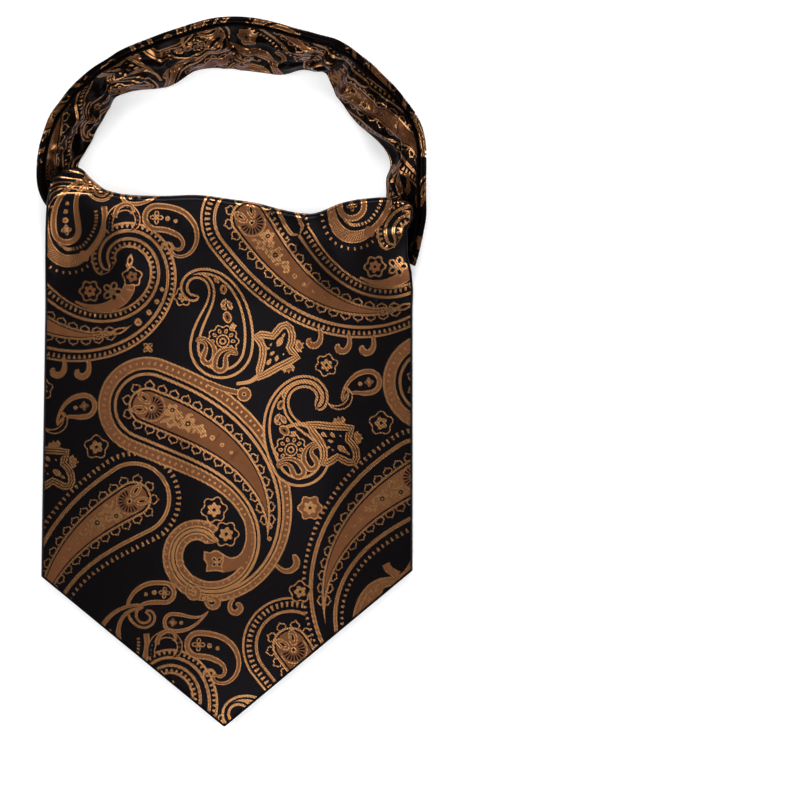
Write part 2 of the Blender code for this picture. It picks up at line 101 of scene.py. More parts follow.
# stations along that section, mm: up the outside over two ledges, and round the rim
PATH_STATIONS = np.array([0.0, 8.1, 8.9, 9.8, 16.4, 17.2, 18.1, 24.0,
                          26.0, 26.6, 27.2, 27.8, 28.4, 29.0, 29.6, 30.2, 30.8, 31.3])

LEDGE_ROWS = (8.6, 9.2, 9.7, 16.7, 17.3, 17.8)      # rows of points at the two ledges
RIM_ROWS = 0.45            # step between the rows of points round the rim

CAMERA_HEIGHT = 3500.0     # above the table
VIEW_WIDTH = 334.2         # width of the view where the scale holds
SCALE_HEIGHT = 8.0         # height at which it holds
VIEW_CENTRE = (70.2, -11.3)

# --- side edges of the front blade: station y, left x, right x ------------------------------------
Side = namedtuple("Side", "y left right")
SIDES = (
    Side(86.0, -75.8, 76.0),
    Side(77.7, -76.2, 76.0),
    Side(70.2, -77.3, 76.0),
    Side(64.8, -77.6, 75.6),
    Side(58.9, -77.8, 73.0),
    Side(48.0, -78.0, 73.1),
    Side(41.4, -78.1, 74.8),
    Side(34.0, -78.2, 75.6),
    Side(-85.0, -80.0, 75.6),
)

# --- top edge of the front blade: place, height of its crest, reach of the slope below it ---------
Column = namedtuple("Column", "x y crest reach")
COLUMNS = (
    Column(-76.5, 80.2, 17.6, 52.0),
    Column(-75.0, 81.8, 18.0, 53.0),
    Column(-71.0, 84.4, 18.2, 55.0),
    Column(-67.7, 85.4, 18.2, 56.0),
    Column(-65.2, 86.1, 18.0, 57.0),
    Column(-62.3, 84.6, 17.6, 56.0),
    Column(-59.7, 81.9, 17.0, 55.0),
    Column(-56.8, 79.4, 16.4, 54.0),
    Column(-53.5, 76.9, 15.8, 53.0),
    Column(-45.5, 74.8, 15.0, 52.0),
    Column(-30.1, 74.0, 14.4, 51.0),
    Column(-14.2, 74.4, 14.0, 50.0),
    Column(-1.3, 72.8, 13.6, 48.0),
    Column(10.9, 71.0, 12.9, 46.0),
    Column(23.0, 67.9, 12.0, 43.0),
    Column(32.6, 66.6, 11.6, 41.0),
    Column(37.6, 67.7, 12.0, 41.0),
    Column(44.3, 70.6, 13.2, 42.0),
    Column(50.5, 72.2, 14.4, 42.0),
    Column(58.0, 73.2, 15.6, 42.0),
    Column(64.3, 73.5, 16.6, 42.0),
    Column(70.2, 72.7, 17.8, 42.0),
    Column(74.6, 71.0, 18.4, 41.0),
    Column(76.0, 70.2, 18.4, 41.0),
)

# --- neckband: turn in degrees from +X, radii of its lower and upper edge, and its height ---------
Band = namedtuple("Band", "turn hem rim rise")
BANDS = (
    Band(-29.0, 69.4, 87.6, 6.0),
    Band(-25.0, 67.8, 86.4, 8.6),
    Band(-20.0, 66.4, 85.1, 11.8),
    Band(-15.0, 65.8, 84.1, 14.8),
    Band(-10.0, 65.2, 82.5, 17.2),
    Band(-5.0, 64.4, 81.5, 19.0),
    Band(0.0, 65.8, 81.3, 20.2),
    Band(5.0, 64.4, 81.5, 21.0),
    Band(10.0, 60.9, 81.2, 21.6),
    Band(15.0, 57.3, 79.8, 22.0),
    Band(20.0, 54.4, 77.5, 22.4),
    Band(25.0, 52.9, 75.6, 22.7),
    Band(30.0, 52.4, 73.5, 23.0),
    Band(35.0, 52.3, 72.1, 23.3),
    Band(40.0, 53.3, 70.5, 23.6),
    Band(45.0, 54.5, 69.4, 23.8),
    Band(50.0, 51.7, 67.9, 24.0),
    Band(55.0, 48.3, 65.5, 24.2),
    Band(60.0, 43.8, 63.8, 24.5),
    Band(67.0, 41.2, 62.2, 24.7),
    Band(80.0, 39.7, 61.6, 25.0),
    Band(95.0, 40.5, 61.3, 25.0),
    Band(110.0, 42.1, 60.7, 24.6),
    Band(120.0, 41.3, 61.9, 24.3),
    Band(125.0, 41.3, 63.0, 24.1),
    Band(130.0, 42.8, 64.6, 23.9),
    Band(135.0, 45.2, 66.4, 23.6),
    Band(140.0, 49.1, 67.9, 23.4),
    Band(145.0, 52.9, 70.2, 23.1),
    Band(150.0, 56.2, 72.3, 22.8),
    Band(155.0, 56.5, 74.4, 22.4),
    Band(160.0, 57.1, 76.2, 21.9),
    Band(165.0, 58.2, 78.4, 21.3),
    Band(170.0, 59.2, 79.5, 20.6),
    Band(175.0, 61.5, 80.6, 19.6),
    Band(180.0, 64.0, 81.3, 18.2),
    Band(186.0, 62.5, 81.6, 15.6),
    Band(190.0, 62.0, 80.7, 13.0),
    Band(194.0, 62.0, 78.5, 10.4),
)
BACK_FROM, BACK_TO = -29.0, 194.0
FACE_FROM, FACE_TO = -26.0, 185.0

# --- buckles and creases across the gathered face: place, lean and half width in degrees; height in mm,
# below nought for a crease
Buckle = namedtuple("Buckle", "turn lean spread height")
BUCKLES = (
    Buckle(-22.0, -6.0, 3.0, 1.2),
    Buckle(-15.5, -6.0, 2.6, 1.6),
    Buckle(-4.0, 4.0, 3.4, 1.6),
    Buckle(5.0, 3.0, 2.6, -0.8),
    Buckle(13.0, -5.0, 3.4, 2.4),
    Buckle(24.0, 6.0, 4.0, 1.4),
    Buckle(34.5, 3.0, 2.8, 2.6),
    Buckle(41.0, 2.0, 2.6, -1.4),
    Buckle(47.5, -3.0, 2.8, 2.8),
    Buckle(60.0, -6.0, 5.5, 1.6),
    Buckle(72.0, 5.0, 3.0, -1.0),
    Buckle(83.0, -5.0, 3.0, 2.4),
    Buckle(90.0, 3.0, 2.6, -1.0),
    Buckle(97.0, 6.0, 3.2, 2.4),
    Buckle(108.0, 4.0, 5.0, 1.6),
    Buckle(120.0, -3.0, 3.0, -1.2),
    Buckle(127.0, -5.0, 3.0, 2.8),
    Buckle(138.0, 3.0, 4.6, 1.4),
    Buckle(146.0, 0.0, 2.6, -0.8),
    Buckle(152.0, -4.0, 2.8, 2.6),
    Buckle(163.0, 4.0, 2.8, 2.2),
    Buckle(174.0, 0.0, 4.0, -1.2),
)
# soft rolls that run along the face: from and to in degrees, place and half width up the face, height
Roll = namedtuple("Roll", "start end place spread height")
ROLLS = (
    Roll(-10.0, 16.0, 0.72, 0.14, 2.4),
    Roll(96.0, 122.0, 0.34, 0.2, 1.2),
    Roll(152.0, 181.0, 0.74, 0.13, 2.2),
)

# soft folds in the cloth: the line that each follows over the flat cut, its half width and its height in mm
Fold = namedtuple("Fold", "line spread height")
FRONT_FOLDS = (
    Fold(((-71.0, 84.2), (-66.4, 85.2), (-62.7, 84.0), (-59.3, 81.4)), 0.8, 0.9),
    Fold(((-75.0, 81.6), (-69.8, 83.2), (-64.3, 82.6), (-59.3, 80.2), (-56.4, 78.6)), 0.8, 1.2),
    Fold(((-76.4, 78.6), (-71.9, 80.7), (-65.6, 80.3), (-60.0, 79.2), (-56.0, 77.6)), 0.8, 1.3),
    Fold(((-76.6, 74.6), (-74.4, 77.2), (-71.0, 78.4), (-65.6, 78.2), (-58.3, 77.4), (-54.0, 76.2)),
         0.85, 1.2),
    Fold(((-76.8, 69.6), (-75.6, 73.4), (-72.7, 75.6), (-68.4, 76.0), (-62.0, 75.4), (-55.0, 74.8)),
         0.9, 1.0),
    Fold(((66.0, 71.4), (71.0, 70.6), (76.0, 69.0)), 0.9, 0.7),
    Fold(((64.0, 68.6), (70.0, 67.4), (76.0, 66.6)), 0.8, 0.55),
    Fold(((67.0, 65.4), (72.0, 64.6), (76.0, 64.2)), 0.8, 0.45),
    Fold(((62.0, 60.0), (68.0, 61.6), (73.0, 60.6)), 1.6, 0.7),
    Fold(((-50.0, 66.0), (-44.0, 50.0), (-46.0, 36.0)), 6.0, 0.8),
    Fold(((20.0, 60.0), (31.0, 46.0), (36.0, 30.0)), 7.0, 0.8),
    Fold(((64.0, 66.0), (70.0, 48.0), (72.0, 28.0)), 9.0, -1.2),
    Fold(((-16.0, -12.0), (-8.0, -44.0), (-12.0, -80.0)), 9.0, 0.35),
    Fold(((44.0, -20.0), (38.0, -60.0), (42.0, -92.0)), 9.0, 0.3),
)

# folds across the gathered face, along the band and up from its hem
FACE_FOLDS = (
    Fold(((6.0, 4.0), (13.0, 13.0), (11.0, 24.0)), 1.2, 1.3),
    Fold(((13.0, 3.0), (20.0, 10.0), (18.0, 21.0)), 1.0, 1.3),
    Fold(((19.0, 3.0), (26.0, 8.0), (25.0, 18.0)), 1.0, 1.2),
    Fold(((24.0, 3.0), (31.0, 7.0), (31.0, 15.0)), 0.9, 1.0),
    Fold(((30.0, 19.0), (42.0, 15.0), (56.0, 20.0)), 1.4, 1.4),
    Fold(((36.0, 9.0), (50.0, 8.0), (62.0, 13.0)), 1.3, 1.2),
    Fold(((58.0, 21.0), (74.0, 15.0), (90.0, 13.0)), 1.4, 1.5),
    Fold(((64.0, 6.0), (80.0, 8.0), (90.0, 17.0)), 1.2, -1.2),
    Fold(((88.0, 23.0), (102.0, 15.0), (111.0, 5.0)), 1.4, 1.7),
    Fold(((103.0, 22.0), (112.0, 14.0), (127.0, 10.0)), 1.3, 1.5),
    Fold(((114.0, 21.0), (130.0, 17.0), (147.0, 21.0)), 1.2, 1.3),
    Fold(((126.0, 5.0), (140.0, 9.0), (151.0, 6.0)), 1.3, -1.2),
    Fold(((150.0, 4.0), (157.0, 12.0), (154.0, 24.0)), 1.6, 2.0),
    Fold(((167.0, 3.0), (171.0, 12.0), (168.0, 25.0)), 1.6, -1.6),
    Fold(((176.0, 5.0), (185.0, 14.0), (182.0, 24.0)), 1.3, 1.5),
    Fold(((188.0, 4.0), (196.0, 10.0), (207.0, 8.0)), 1.2, 1.3),
    Fold(((196.0, 22.0), (206.0, 17.0), (220.0, 19.0)), 1.2, 1.5),
    Fold(((213.0, 4.0), (222.0, 10.0), (225.0, 21.0)), 1.2, 1.3),
)

# --- back blade: its outline from its point round to the left -------------------------------------
BACK_OUTLINE = (
    (-3.0, -141.0), (72.8, -80.4), (72.8, 37.0), (69.0, 45.0), (61.0, 51.0), (57.5, 61.0),
    (46.0, 65.5), (33.0, 61.5), (22.0, 63.0), (9.0, 66.0), (-14.0, 69.6), (-46.0, 69.8),
    (-62.0, 69.6), (-75.4, 66.0), (-75.8, 40.0), (-77.2, -82.6),
)


# --- curves ---------------------------------------------------------------------------------------
def read(table, station, value, at):
    """Smooth values of one named column of a table at the given stations."""
    rows = sorted((getattr(row, station), getattr(row, value)) for row in table)
    place, height = np.array(rows, float).T
    slope = np.empty_like(height)
    slope[1:-1] = (height[2:] - height[:-2]) / (place[2:] - place[:-2])
    slope[0] = (height[1] - height[0]) / (place[1] - place[0])
    slope[-1] = (height[-1] - height[-2]) / (place[-1] - place[-2])
    at = np.clip(at, place[0], place[-1])
    index = np.clip(np.searchsorted(place, at, "right") - 1, 0, len(place) - 2)
    span = place[index + 1] - place[index]
    share = (at - place[index]) / span
    square, cube = share * share, share ** 3
    return (
        (2 * cube - 3 * square + 1) * height[index]
        + (cube - 2 * square + share) * span * slope[index]
        + (3 * square - 2 * cube) * height[index + 1]
        + (cube - square) * span * slope[index + 1]
    )


def fade(share):
    """Falls smoothly from one at 0 to nought at 1."""
    share = np.clip(share, 0.0, 1.0)
    return (1 - share) * (1 - share) * (1 + 2 * share)


def bell(distance, spread):
    """Height of a soft ridge at a distance from its middle."""
    return fade(np.abs(distance) / (2 * spread))


def unit(vectors):
    """The same vectors, each one long."""
    return vectors / np.maximum(np.linalg.norm(vectors, axis=-1, keepdims=True), 1e-9)


def left_of(ways):
    """Directions on the flat, turned to their left."""
    return np.stack([-ways[:, 1], ways[:, 0]], axis=1)


def spread_along(points, pitch, closed=False):
    """Evenly spaced points along a polyline, its own corners included."""
    points = [np.asarray(point, float) for point in points]
    ends = points[1:] + points[:1] if closed else points[1:]
    found = []
    for start, end in zip(points, ends):
        count = max(1, round(float(np.linalg.norm(end - start)) / pitch))
        found += [start + (end - start) * i / count for i in range(count)]
    return np.array(found if closed else found + [points[-1]])


def smooth(points, steps=5):
    """A soft curve through a few points."""
    points = np.asarray(points, float)
    ends = np.concatenate([[2 * points[0] - points[1]], points, [2 * points[-1] - points[-2]]])
    found = []
    for a, b, c, d in zip(ends, ends[1:], ends[2:], ends[3:]):
        for share in np.arange(steps) / steps:
            found.append(b + 0.5 * share * (c - a + share * (2 * a - 5 * b + 4 * c - d
                                                             + share * (3 * b - a - 3 * c + d))))
    return np.array(found + [points[-1]])


# --- neckband sections ----------------------------------------------------------------------------
def buckle_lift(turn, share):
    """Lift of the gathered face by all its buckles and rolls."""
    lift = PUFF * np.minimum(1.0, np.minimum(4.0 * share, 4.0 * (1.0 - share)))
    for buckle in BUCKLES:
        centre = buckle.turn + buckle.lean * (share - 0.5)
        lift = lift + buckle.height * bell(turn - centre, buckle.spread)
    edge = np.minimum(1.0, 0.5 + 2.5 * share)
    edge = edge * np.where(share < 0.7, 1.0, 1.0 - 0.8 * (share - 0.7) / 0.3)
    lift = lift * edge
    for roll in ROLLS:
        middle, half = (roll.start + roll.end) / 2, (roll.end - roll.start) / 2
        lift = lift + roll.height * fade(np.abs(turn - middle) / half) * bell(share - roll.place, roll.spread)
    ends = np.minimum(fade(1 - (turn - FACE_FROM) / 6.0), fade(1 - (FACE_TO - turn) / 6.0))
    return np.maximum(lift, 0.0) * ends


class Sections:
    """The neckband cut across at each of many turns; r runs outwards from the hem and z up, in mm."""

    def __init__(self, turn):
        self.turn = np.asarray(turn, float)
        self.hem = read(BANDS, "turn", "hem", self.turn)
        self.width = read(BANDS, "turn", "rim", self.turn) - self.hem
        self.rise = read(BANDS, "turn", "rise", self.turn)
        self.size = np.minimum(1.0, self.rise / FULL_RISE)
        self.run = self.width - RIM_WIDTH - HEM_START[0]
        self.climb = self.rise - RIM_DROP * self.size - HEM_START[1]
        length = np.hypot(self.run, self.climb)
        self.inward = (-self.climb / length, self.run / length)

    def core(self, share, offset, bulge=BULGE):
        """Points up the bellied core line, moved off it towards the inside of the loop."""
        belly = bulge * self.size * np.sin(np.pi * np.clip(share, 0.0, 1.0))
        r = HEM_START[0] + self.run * share + self.inward[0] * (offset - belly)
        z = HEM_START[1] + self.climb * share + self.inward[1] * (offset - belly)
        return r, z

    def place(self, r, z):
        """Points of the sections in the cravat's own frame."""
        radians = np.radians(self.turn)
        radius = self.hem + r
        return np.stack([LOOP[0] + radius * np.cos(radians), LOOP[1] + radius * np.sin(radians), z], axis=-1)


def band_height(x, y):
    """Height that clears the neckband's gathered face at places on the plan, or nought off it."""
    east, north = x - LOOP[0], y - LOOP[1]
    turn = np.degrees(np.arctan2(north, east))
    turn = np.where(turn < -90, turn + 360, turn)
    section = Sections(turn)
    share = (np.hypot(east, north) - section.hem - HEM_START[0] + BAND_MARGIN) / section.run
    lift = LAYER_GAP / 2 + LAYER_THICK + buckle_lift(turn, share)
    climb = HEM_START[1] + section.climb * np.minimum(share, 1.0)
    height = climb + lift / section.inward[1] + 2 * GAP
    beyond = (turn < BACK_FROM - 3) | (turn > BACK_TO + 3) | (share < -HEM_START[0] / section.run)
    return np.where(beyond, 0.0, height)


# --- front blade ----------------------------------------------------------------------------------
def blade_share(x, y):
    """Share of the front blade's width at which a place lies."""
    y = np.minimum(y, SIDES[0].y)
    left, right = read(SIDES, "y", "left", y), read(SIDES, "y", "right", y)
    return np.clip((x - left) / (right - left), 0.0, 1.0)


def columns_at(x):
    """The smooth values of the column table at places across the blade, by name."""
    return {name: read(COLUMNS, "x", name, x) for name in Column._fields[1:]}


def leg_lengths():
    """Height of the cloth behind the fold at each station, from the fold's waist down to its edge."""
    x, top, crest = (np.array([getattr(row, name) for row in COLUMNS]) for name in ("x", "y", "crest"))
    waist = crest - ROLL_RADIUS
    foot = np.maximum(band_height(x, top), band_height(x, top - ROLL_RADIUS))
    foot = np.minimum(np.maximum(foot, LEG_CLEAR), waist - LEG_SHORTEST)
    return x, waist - foot


LEG_STATIONS, LEG_LENGTHS = leg_lengths()


def blade_upper(points):
    """Upper face of the front blade, without its gathers, at points of the flat cloth."""
    x, v = points.T
    column = columns_at(COLUMNS[0].x + blade_share(x, v) * (COLUMNS[-1].x - COLUMNS[0].x))
    top, crest = column["y"], column["crest"]
    down = top - v
    slope = FRONT_REST + (crest - FRONT_REST) * fade((down - ROLL_RADIUS) / column["reach"])
    y, z = v.copy(), slope
    along = v - (top - ROLL_RADIUS)
    turn = np.clip(along / ROLL_RADIUS, 0.0, np.pi / 2)
    on_roll = along > 0
    y = np.where(on_roll, top - ROLL_RADIUS + ROLL_RADIUS * np.sin(turn), y)
    z = np.where(on_roll, crest - ROLL_RADIUS + ROLL_RADIUS * np.cos(turn), z)
    drop = along - ROLL_RADIUS * np.pi / 2
    on_leg = drop > 0
    leg = np.interp(x, LEG_STATIONS, LEG_LENGTHS)
    y = np.where(on_leg, top - LEG_LEAN * np.clip(drop / leg, 0.0, 1.0), y)
    z = np.where(on_leg, crest - ROLL_RADIUS - drop, z)
    return np.stack([x, y, z], axis=-1)


def fold_lift(folds, points):
    """Lift of the cloth by a table of folds."""
    lift = np.zeros(len(points))
    for fold in folds:
        line = np.array(fold.line)
        low, high = line.min(axis=0) - 2 * fold.spread, line.max(axis=0) + 2 * fold.spread
        near = np.flatnonzero(np.all((points > low) & (points < high), axis=1))
        gap = np.full(len(near), np.inf)
        along = np.zeros(len(near))
        runs = np.linalg.norm(np.diff(line, axis=0), axis=1)
        whole, before = runs.sum(), 0.0
        for start, end, run in zip(line[:-1], line[1:], runs):
            share = np.clip((points[near] - start) @ (end - start) / run ** 2, 0.0, 1.0)
            away = np.linalg.norm(points[near] - start - share[:, None] * (end - start), axis=1)
            along = np.where(away < gap, (before + share * run) / whole, along)
            gap = np.minimum(gap, away)
            before += run
        ends = np.minimum(1.0, 0.25 + 3.0 * np.minimum(along, 1.0 - along))
        lift[near] += fold.height * ends * bell(gap, fold.spread)
    return lift


def normals_of(surface, points, reach=0.08):
    """Unit normals of a surface over its flat cloth, by its own steps."""
    east, north = np.array([reach, 0.0]), np.array([0.0, reach])
    along = surface(points + east) - surface(points - east)
    up = surface(points + north) - surface(points - north)
    return unit(np.cross(along, up))


def front_surface(points):
    """Middle of the front blade's thickness and its normals."""
    normal = normals_of(blade_upper, points)
    lift = fold_lift(FRONT_FOLDS, points) - BLADE_THICK / 2
    return blade_upper(points) + normal * lift[:, None], normal


TOP_STEPS = 110            # points along the front blade's folded edge


def front_outline(inset, pitch):
    """Outline of the front blade's flat cloth, counterclockwise from its point."""
    left_low, right_low = SIDES[-1].left, SIDES[-1].right
    corners = [POINT, (right_low, SHOULDERS[1])]
    corners += [(side.right, side.y) for side in reversed(SIDES[:-1]) if side.y <= COLUMNS[-1].y]
    tops = np.linspace(COLUMNS[-1].x, COLUMNS[0].x, TOP_STEPS)
    around = ROLL_RADIUS * (np.pi / 2 - 1) + np.interp(tops, LEG_STATIONS, LEG_LENGTHS)
    ends = read(COLUMNS, "x", "y", tops) + around
    corners += [(x, y) for x, y in zip(tops, ends)]
    corners += [(side.left, side.y) for side in SIDES[:-1] if side.y <= COLUMNS[0].y]
    corners.append((left_low, SHOULDERS[0]))
    return inset_polygon(spread_along(corners, pitch, closed=True), inset)


def inset_polygon(points, inset):
    """A counterclockwise polygon moved inwards."""
    if not inset:
        return points
    before = unit(points - np.roll(points, 1, axis=0))
    after = unit(np.roll(points, -1, axis=0) - points)
    mitre = unit(left_of(before) + left_of(after))
    reach = inset / np.maximum(np.sum(mitre * left_of(before), axis=1), 0.5)
    return points + mitre * reach[:, None]


# --- shells: a sheet over its flat cloth, wrapped round its edges ---------------------------------
EDGE_STEPS = 6             # rows of points round a pressed fold
# past this turn the rounded edge is painted dark ground: painted shade along the folded edges
FIGURES_BEFORE_SHADED_EDGE = 0.1           # how far round it the figures show, radians
FAN = 20.0                 # degrees between two points of a row round a sharp corner
TINY = 0.05                # step by which directions are found


def nearest_on(outline, points):
    """Nearest place on a closed outline to each point, and its distance."""
    start, end = outline, np.roll(outline, -1, axis=0)
    run = end - start
    length = np.maximum(np.sum(run * run, axis=1), 1e-12)
    found, distance = np.empty_like(points), np.empty(len(points))
    for low in range(0, len(points), 2000):
        part = points[low:low + 2000]
        share = np.einsum("ijk,jk->ij", part[:, None] - start[None], run) / length
        place = start[None] + run[None] * np.clip(share, 0.0, 1.0)[..., None]
        gap = np.linalg.norm(part[:, None] - place, axis=2)
        best = np.argmin(gap, axis=1)
        rows = np.arange(len(part))
        found[low:low + 2000] = place[rows, best]
        distance[low:low + 2000] = gap[rows, best]
    return found, distance


def inside(outline, points):
    """Which points lie inside a closed outline."""
    x, y = points.T
    answer = np.zeros(len(points), bool)
    for (x_1, y_1), (x_2, y_2) in zip(outline, np.roll(outline, -1, axis=0)):
        if y_1 != y_2:
            crosses = (y_1 > y) != (y_2 > y)
            answer ^= crosses & (x < (x_2 - x_1) * (y - y_1) / (y_2 - y_1) + x_1)
    return answer


def ways_out(outline):
    """Foot and way out of each point of a row round the outline, with a fan at each sharp corner."""
    before = unit(outline - np.roll(outline, 1, axis=0))
    after = unit(np.roll(outline, -1, axis=0) - outline)
    feet, ways = [], []
    for point, side_in, side_out in zip(outline, before, after):
        first = math.atan2(-side_in[0], side_in[1])
        last = math.atan2(-side_out[0], side_out[1])
        swing = (last - first + math.pi) % (2 * math.pi) - math.pi
        count = round(swing / math.radians(FAN))
        shares = [i / count for i in range(count + 1)] if count > 1 else [0.5]
        for share in shares:
            feet.append(point)
            ways.append((math.cos(first + swing * share), math.sin(first + swing * share)))
    return np.array(feet), np.array(ways)


def lattice_points(outline, pitch, margin):
    """Grid points well inside an outline."""
    low, high = outline.min(axis=0), outline.max(axis=0)
    grid = np.meshgrid(*(np.arange(low[k] + pitch / 2, high[k], pitch) for k in (0, 1)))
    grid = np.stack(grid, axis=-1).reshape(-1, 2)
    grid = grid[inside(outline, grid)]
    return grid[nearest_on(outline, grid)[1] > margin]


def triangles_of(rows, points, figures=()):
    """Triangles inside the first row, with the other rows, loose points and figures cut in.

    Gives the flat points, where each came from, the triangles, and the figure on top of each.
    """
    flat = [tuple(p) for row in rows for p in row] + [tuple(p) for p in points]
    faces = [list(range(index * len(row), (index + 1) * len(row))) for index, row in enumerate(rows)]
    for figure in figures:
        faces.append(list(range(len(flat), len(flat) + len(figure.points))))
        flat += [tuple(p) for p in figure.points]
    found = delaunay_2d_cdt([Vector(p) for p in flat], [], faces, 0, 1e-4, True)
    corners, triangles, origins, owners = found[0], found[2], found[3], found[5]
    sides = [0] * len(rows) + [figure.side for figure in figures]
    kept = []
    for triangle, owner in zip(triangles, owners):
        if 0 in owner:
            place = sum(corners[corner].x for corner in triangle) / 3 - BACK_SEAM
            kept.append((triangle, max(face for face in owner if place * sides[face] >= 0)))
    return (np.array([tuple(p) for p in corners]), origins, [list(triangle) for triangle, _ in kept],
            [top for _, top in kept])


def rim_of(triangles):
    """Corners round the edge of a patch of triangles, in order."""
    steps = {(a, b) for corners in triangles for a, b in zip(corners, corners[1:] + corners[:1])}
    following = {a: b for a, b in steps if (b, a) not in steps}
    longest = []
    while following:
        loop = [next(iter(following))]
        while loop[-1] in following:
            loop.append(following.pop(loop[-1]))
        longest = max(longest, loop[:-1], key=len)
    return longest


def shell(name, outline, surface, half, pitch, lip, fine=(), figures=(), under_pitch=5.0):
    """A closed shell of cloth over an outline of its flat cut, with rounded edges.

    The surface gives the middle of the cloth and its way out at flat points; half is half its thickness,
    and lip is how much flat cloth goes round an edge.
    """
    thick = half if callable(half) else lambda points: np.full((len(points), 1), half)
    feet, ways = ways_out(outline)
    turns = [math.pi * step / EDGE_STEPS for step in range(EDGE_STEPS, -1, -1)]
    rows = [feet + ways * lip * turn / math.pi for turn in turns]
    lattice = lattice_points(outline, pitch, 0.5 * pitch)
    loose = np.concatenate([lattice, *(np.asarray(extra) for extra in fine)])
    flat, origins, triangles, tops = triangles_of(rows, loose, figures)

    foot, away = nearest_on(outline, flat)
    away = np.where(inside(outline, flat), 0.0, away)
    foot = np.where((away < 1e-6)[:, None], flat, foot)
    way, turn = unit(flat - foot), np.minimum(away / lip, 1.0) * math.pi
    row_length = len(feet)
    for index, origin in enumerate(origins):
        if origin and origin[0] < row_length * len(rows):
            foot[index], way[index] = feet[origin[0] % row_length], ways[origin[0] % row_length]
            turn[index] = turns[origin[0] // row_length]
    rim = rim_of(triangles)
    turn[rim] = math.pi
    middle, normal = surface(foot)
    ahead = surface(foot + way * TINY)[0] - surface(foot - way * TINY)[0]
    ahead = unit(ahead - normal * np.sum(ahead * normal, axis=1, keepdims=True))
    bend = turn[:, None]
    upper = middle + (ahead * np.sin(bend) + normal * np.cos(bend)) * thick(foot)

    lower_flat, _, lower_triangles, _ = triangles_of([foot[rim]], lattice_points(outline, under_pitch, 1.5))
    middle, normal = surface(lower_flat)
    lower = middle - normal * thick(lower_flat)
    yarns = [GROUND] * len(rows) + [figure.yarn for figure in figures]
    faces = list(triangles)
    faces += [[corner + len(flat) for corner in reversed(triangle)] for triangle in lower_triangles]
    yarn = np.zeros(len(faces), np.float32)
    # faces farther round the edge keep the dark ground yarn: painted shade along the fold
    clear_of_edge_shade = turn[np.array(triangles)].mean(axis=1) < FIGURES_BEFORE_SHADED_EDGE
    yarn[:len(tops)] = np.array([yarns[top] for top in tops]) * clear_of_edge_shade
    return cloth_mesh(name, np.concatenate([upper, lower]), faces, yarn, np.concatenate([flat, lower_flat]))


def cloth_mesh(name, points, faces, yarn, flat):
    """A smooth closed mesh with its yarn on each face and its flat cut on each point."""
    mesh = bpy.data.meshes.new(name)
    mesh.from_pydata([tuple(p) for p in points * MM], [], faces)
    mesh.attributes.new("yarn", "FLOAT", "FACE").data.foreach_set("value", yarn)
    cut = np.column_stack([flat, np.zeros(len(flat))]).astype(np.float32)
    mesh.attributes.new("cut", "FLOAT_VECTOR", "POINT").data.foreach_set("vector", cut.ravel())
    shape = bmesh.new()
    shape.from_mesh(mesh)
    bmesh.ops.delete(shape, geom=[vert for vert in shape.verts if not vert.link_faces], context="VERTS")
    bmesh.ops.remove_doubles(shape, verts=shape.verts, dist=MERGE)
    bmesh.ops.recalc_face_normals(shape, faces=shape.faces)
    shape.to_mesh(mesh)
    shape.free()
    mesh.shade_smooth()
    piece = bpy.data.objects.new(name, mesh)
    bpy.context.scene.collection.objects.link(piece)
    return piece


# --- the woven chart: figures in mm on the flat cloth ---------------------------------------------
GROUND, BROWN, GOLD = 0, 1, 2                   # which yarn lies on top
ACROSS, ALONG = (119.1, 10.0), (17.3, -178.4)   # the repeat
LEAST_STEP = 110.0                              # a little less than its shorter step
THIN, BOLD = 0.85, 1.1                          # a thin line, and the width above which one has two strands
TAIL = 3.0                                      # how much of a drop's tail is rounded off
ARCH = ((-0.26, 0.0), (-0.38, 0.3), (-0.3, 0.6), (-0.12, 0.72), (0.0, 1.0), (0.12, 0.72), (0.3, 0.6),
        (0.38, 0.3), (0.26, 0.0))
BUD = ((-11.8, -74.4), (-9.4, -75.0), (-7.2, -74.0), (-5.4, -74.4), (-3.6, -75.8), (-3.4, -78.6),
       (-4.2, -81.0), (-3.6, -83.4), (-6.6, -82.8), (-11.0, -83.2), (-10.6, -80.4), (-12.0, -77.8))
LEAF = ((-0.5, 0.0), (-0.3, 0.8), (0.0, 1.0), (0.3, 0.6), (0.5, 0.0), (0.3, -0.6), (0.0, -1.0), (-0.3, -0.8))
# gold lines along the gathers of the left and right corners, each with its width
GATHER_LINES = (
    (((-70.6, 84.6), (-66.4, 85.8), (-62.7, 84.9), (-59.3, 82.4)), 0.45),
    (((-74.0, 82.6), (-69.8, 84.0), (-64.3, 83.5), (-59.3, 81.0), (-56.0, 78.8)), 0.5),
    (((-76.2, 80.0), (-71.9, 81.4), (-65.6, 80.9), (-61.0, 80.0), (-56.4, 78.0)), 0.4),
    (((-76.6, 76.7), (-74.4, 78.6), (-71.0, 79.6), (-65.6, 79.3), (-59.3, 78.7), (-54.6, 77.0)), 0.6),
    (((-76.6, 74.2), (-74.6, 76.6), (-71.4, 78.0), (-65.6, 78.0), (-59.3, 77.4), (-54.0, 76.2)), 0.35),
    (((-76.8, 70.6), (-75.2, 74.2), (-72.7, 76.2), (-69.0, 77.0), (-63.0, 76.4), (-57.0, 75.6),
      (-51.0, 75.4)), 0.6),
    (((-77.0, 66.0), (-75.6, 70.6), (-73.0, 73.6), (-69.0, 75.0), (-63.0, 75.0), (-57.0, 74.6)), 0.5),
    (((71.2, 67.4), (73.4, 67.2), (75.6, 67.0)), 0.9),
    (((71.6, 65.2), (74.0, 65.0), (75.8, 65.0)), 0.7),
)
# outer and inner side of the drop that the right edge cuts
EDGE_DROP = (
    ((50.6, -104.1), (51.3, -99.3), (53.3, -93.8), (56.7, -89.3), (60.8, -86.6), (65.6, -85.6), (69.4, -85.0),
     (72.5, -82.6), (75.8, -77.0)),
    ((59.5, -99.4), (61.9, -93.1), (63.8, -89.6), (69.4, -88.1), (73.2, -85.4), (76.4, -80.1)),
)
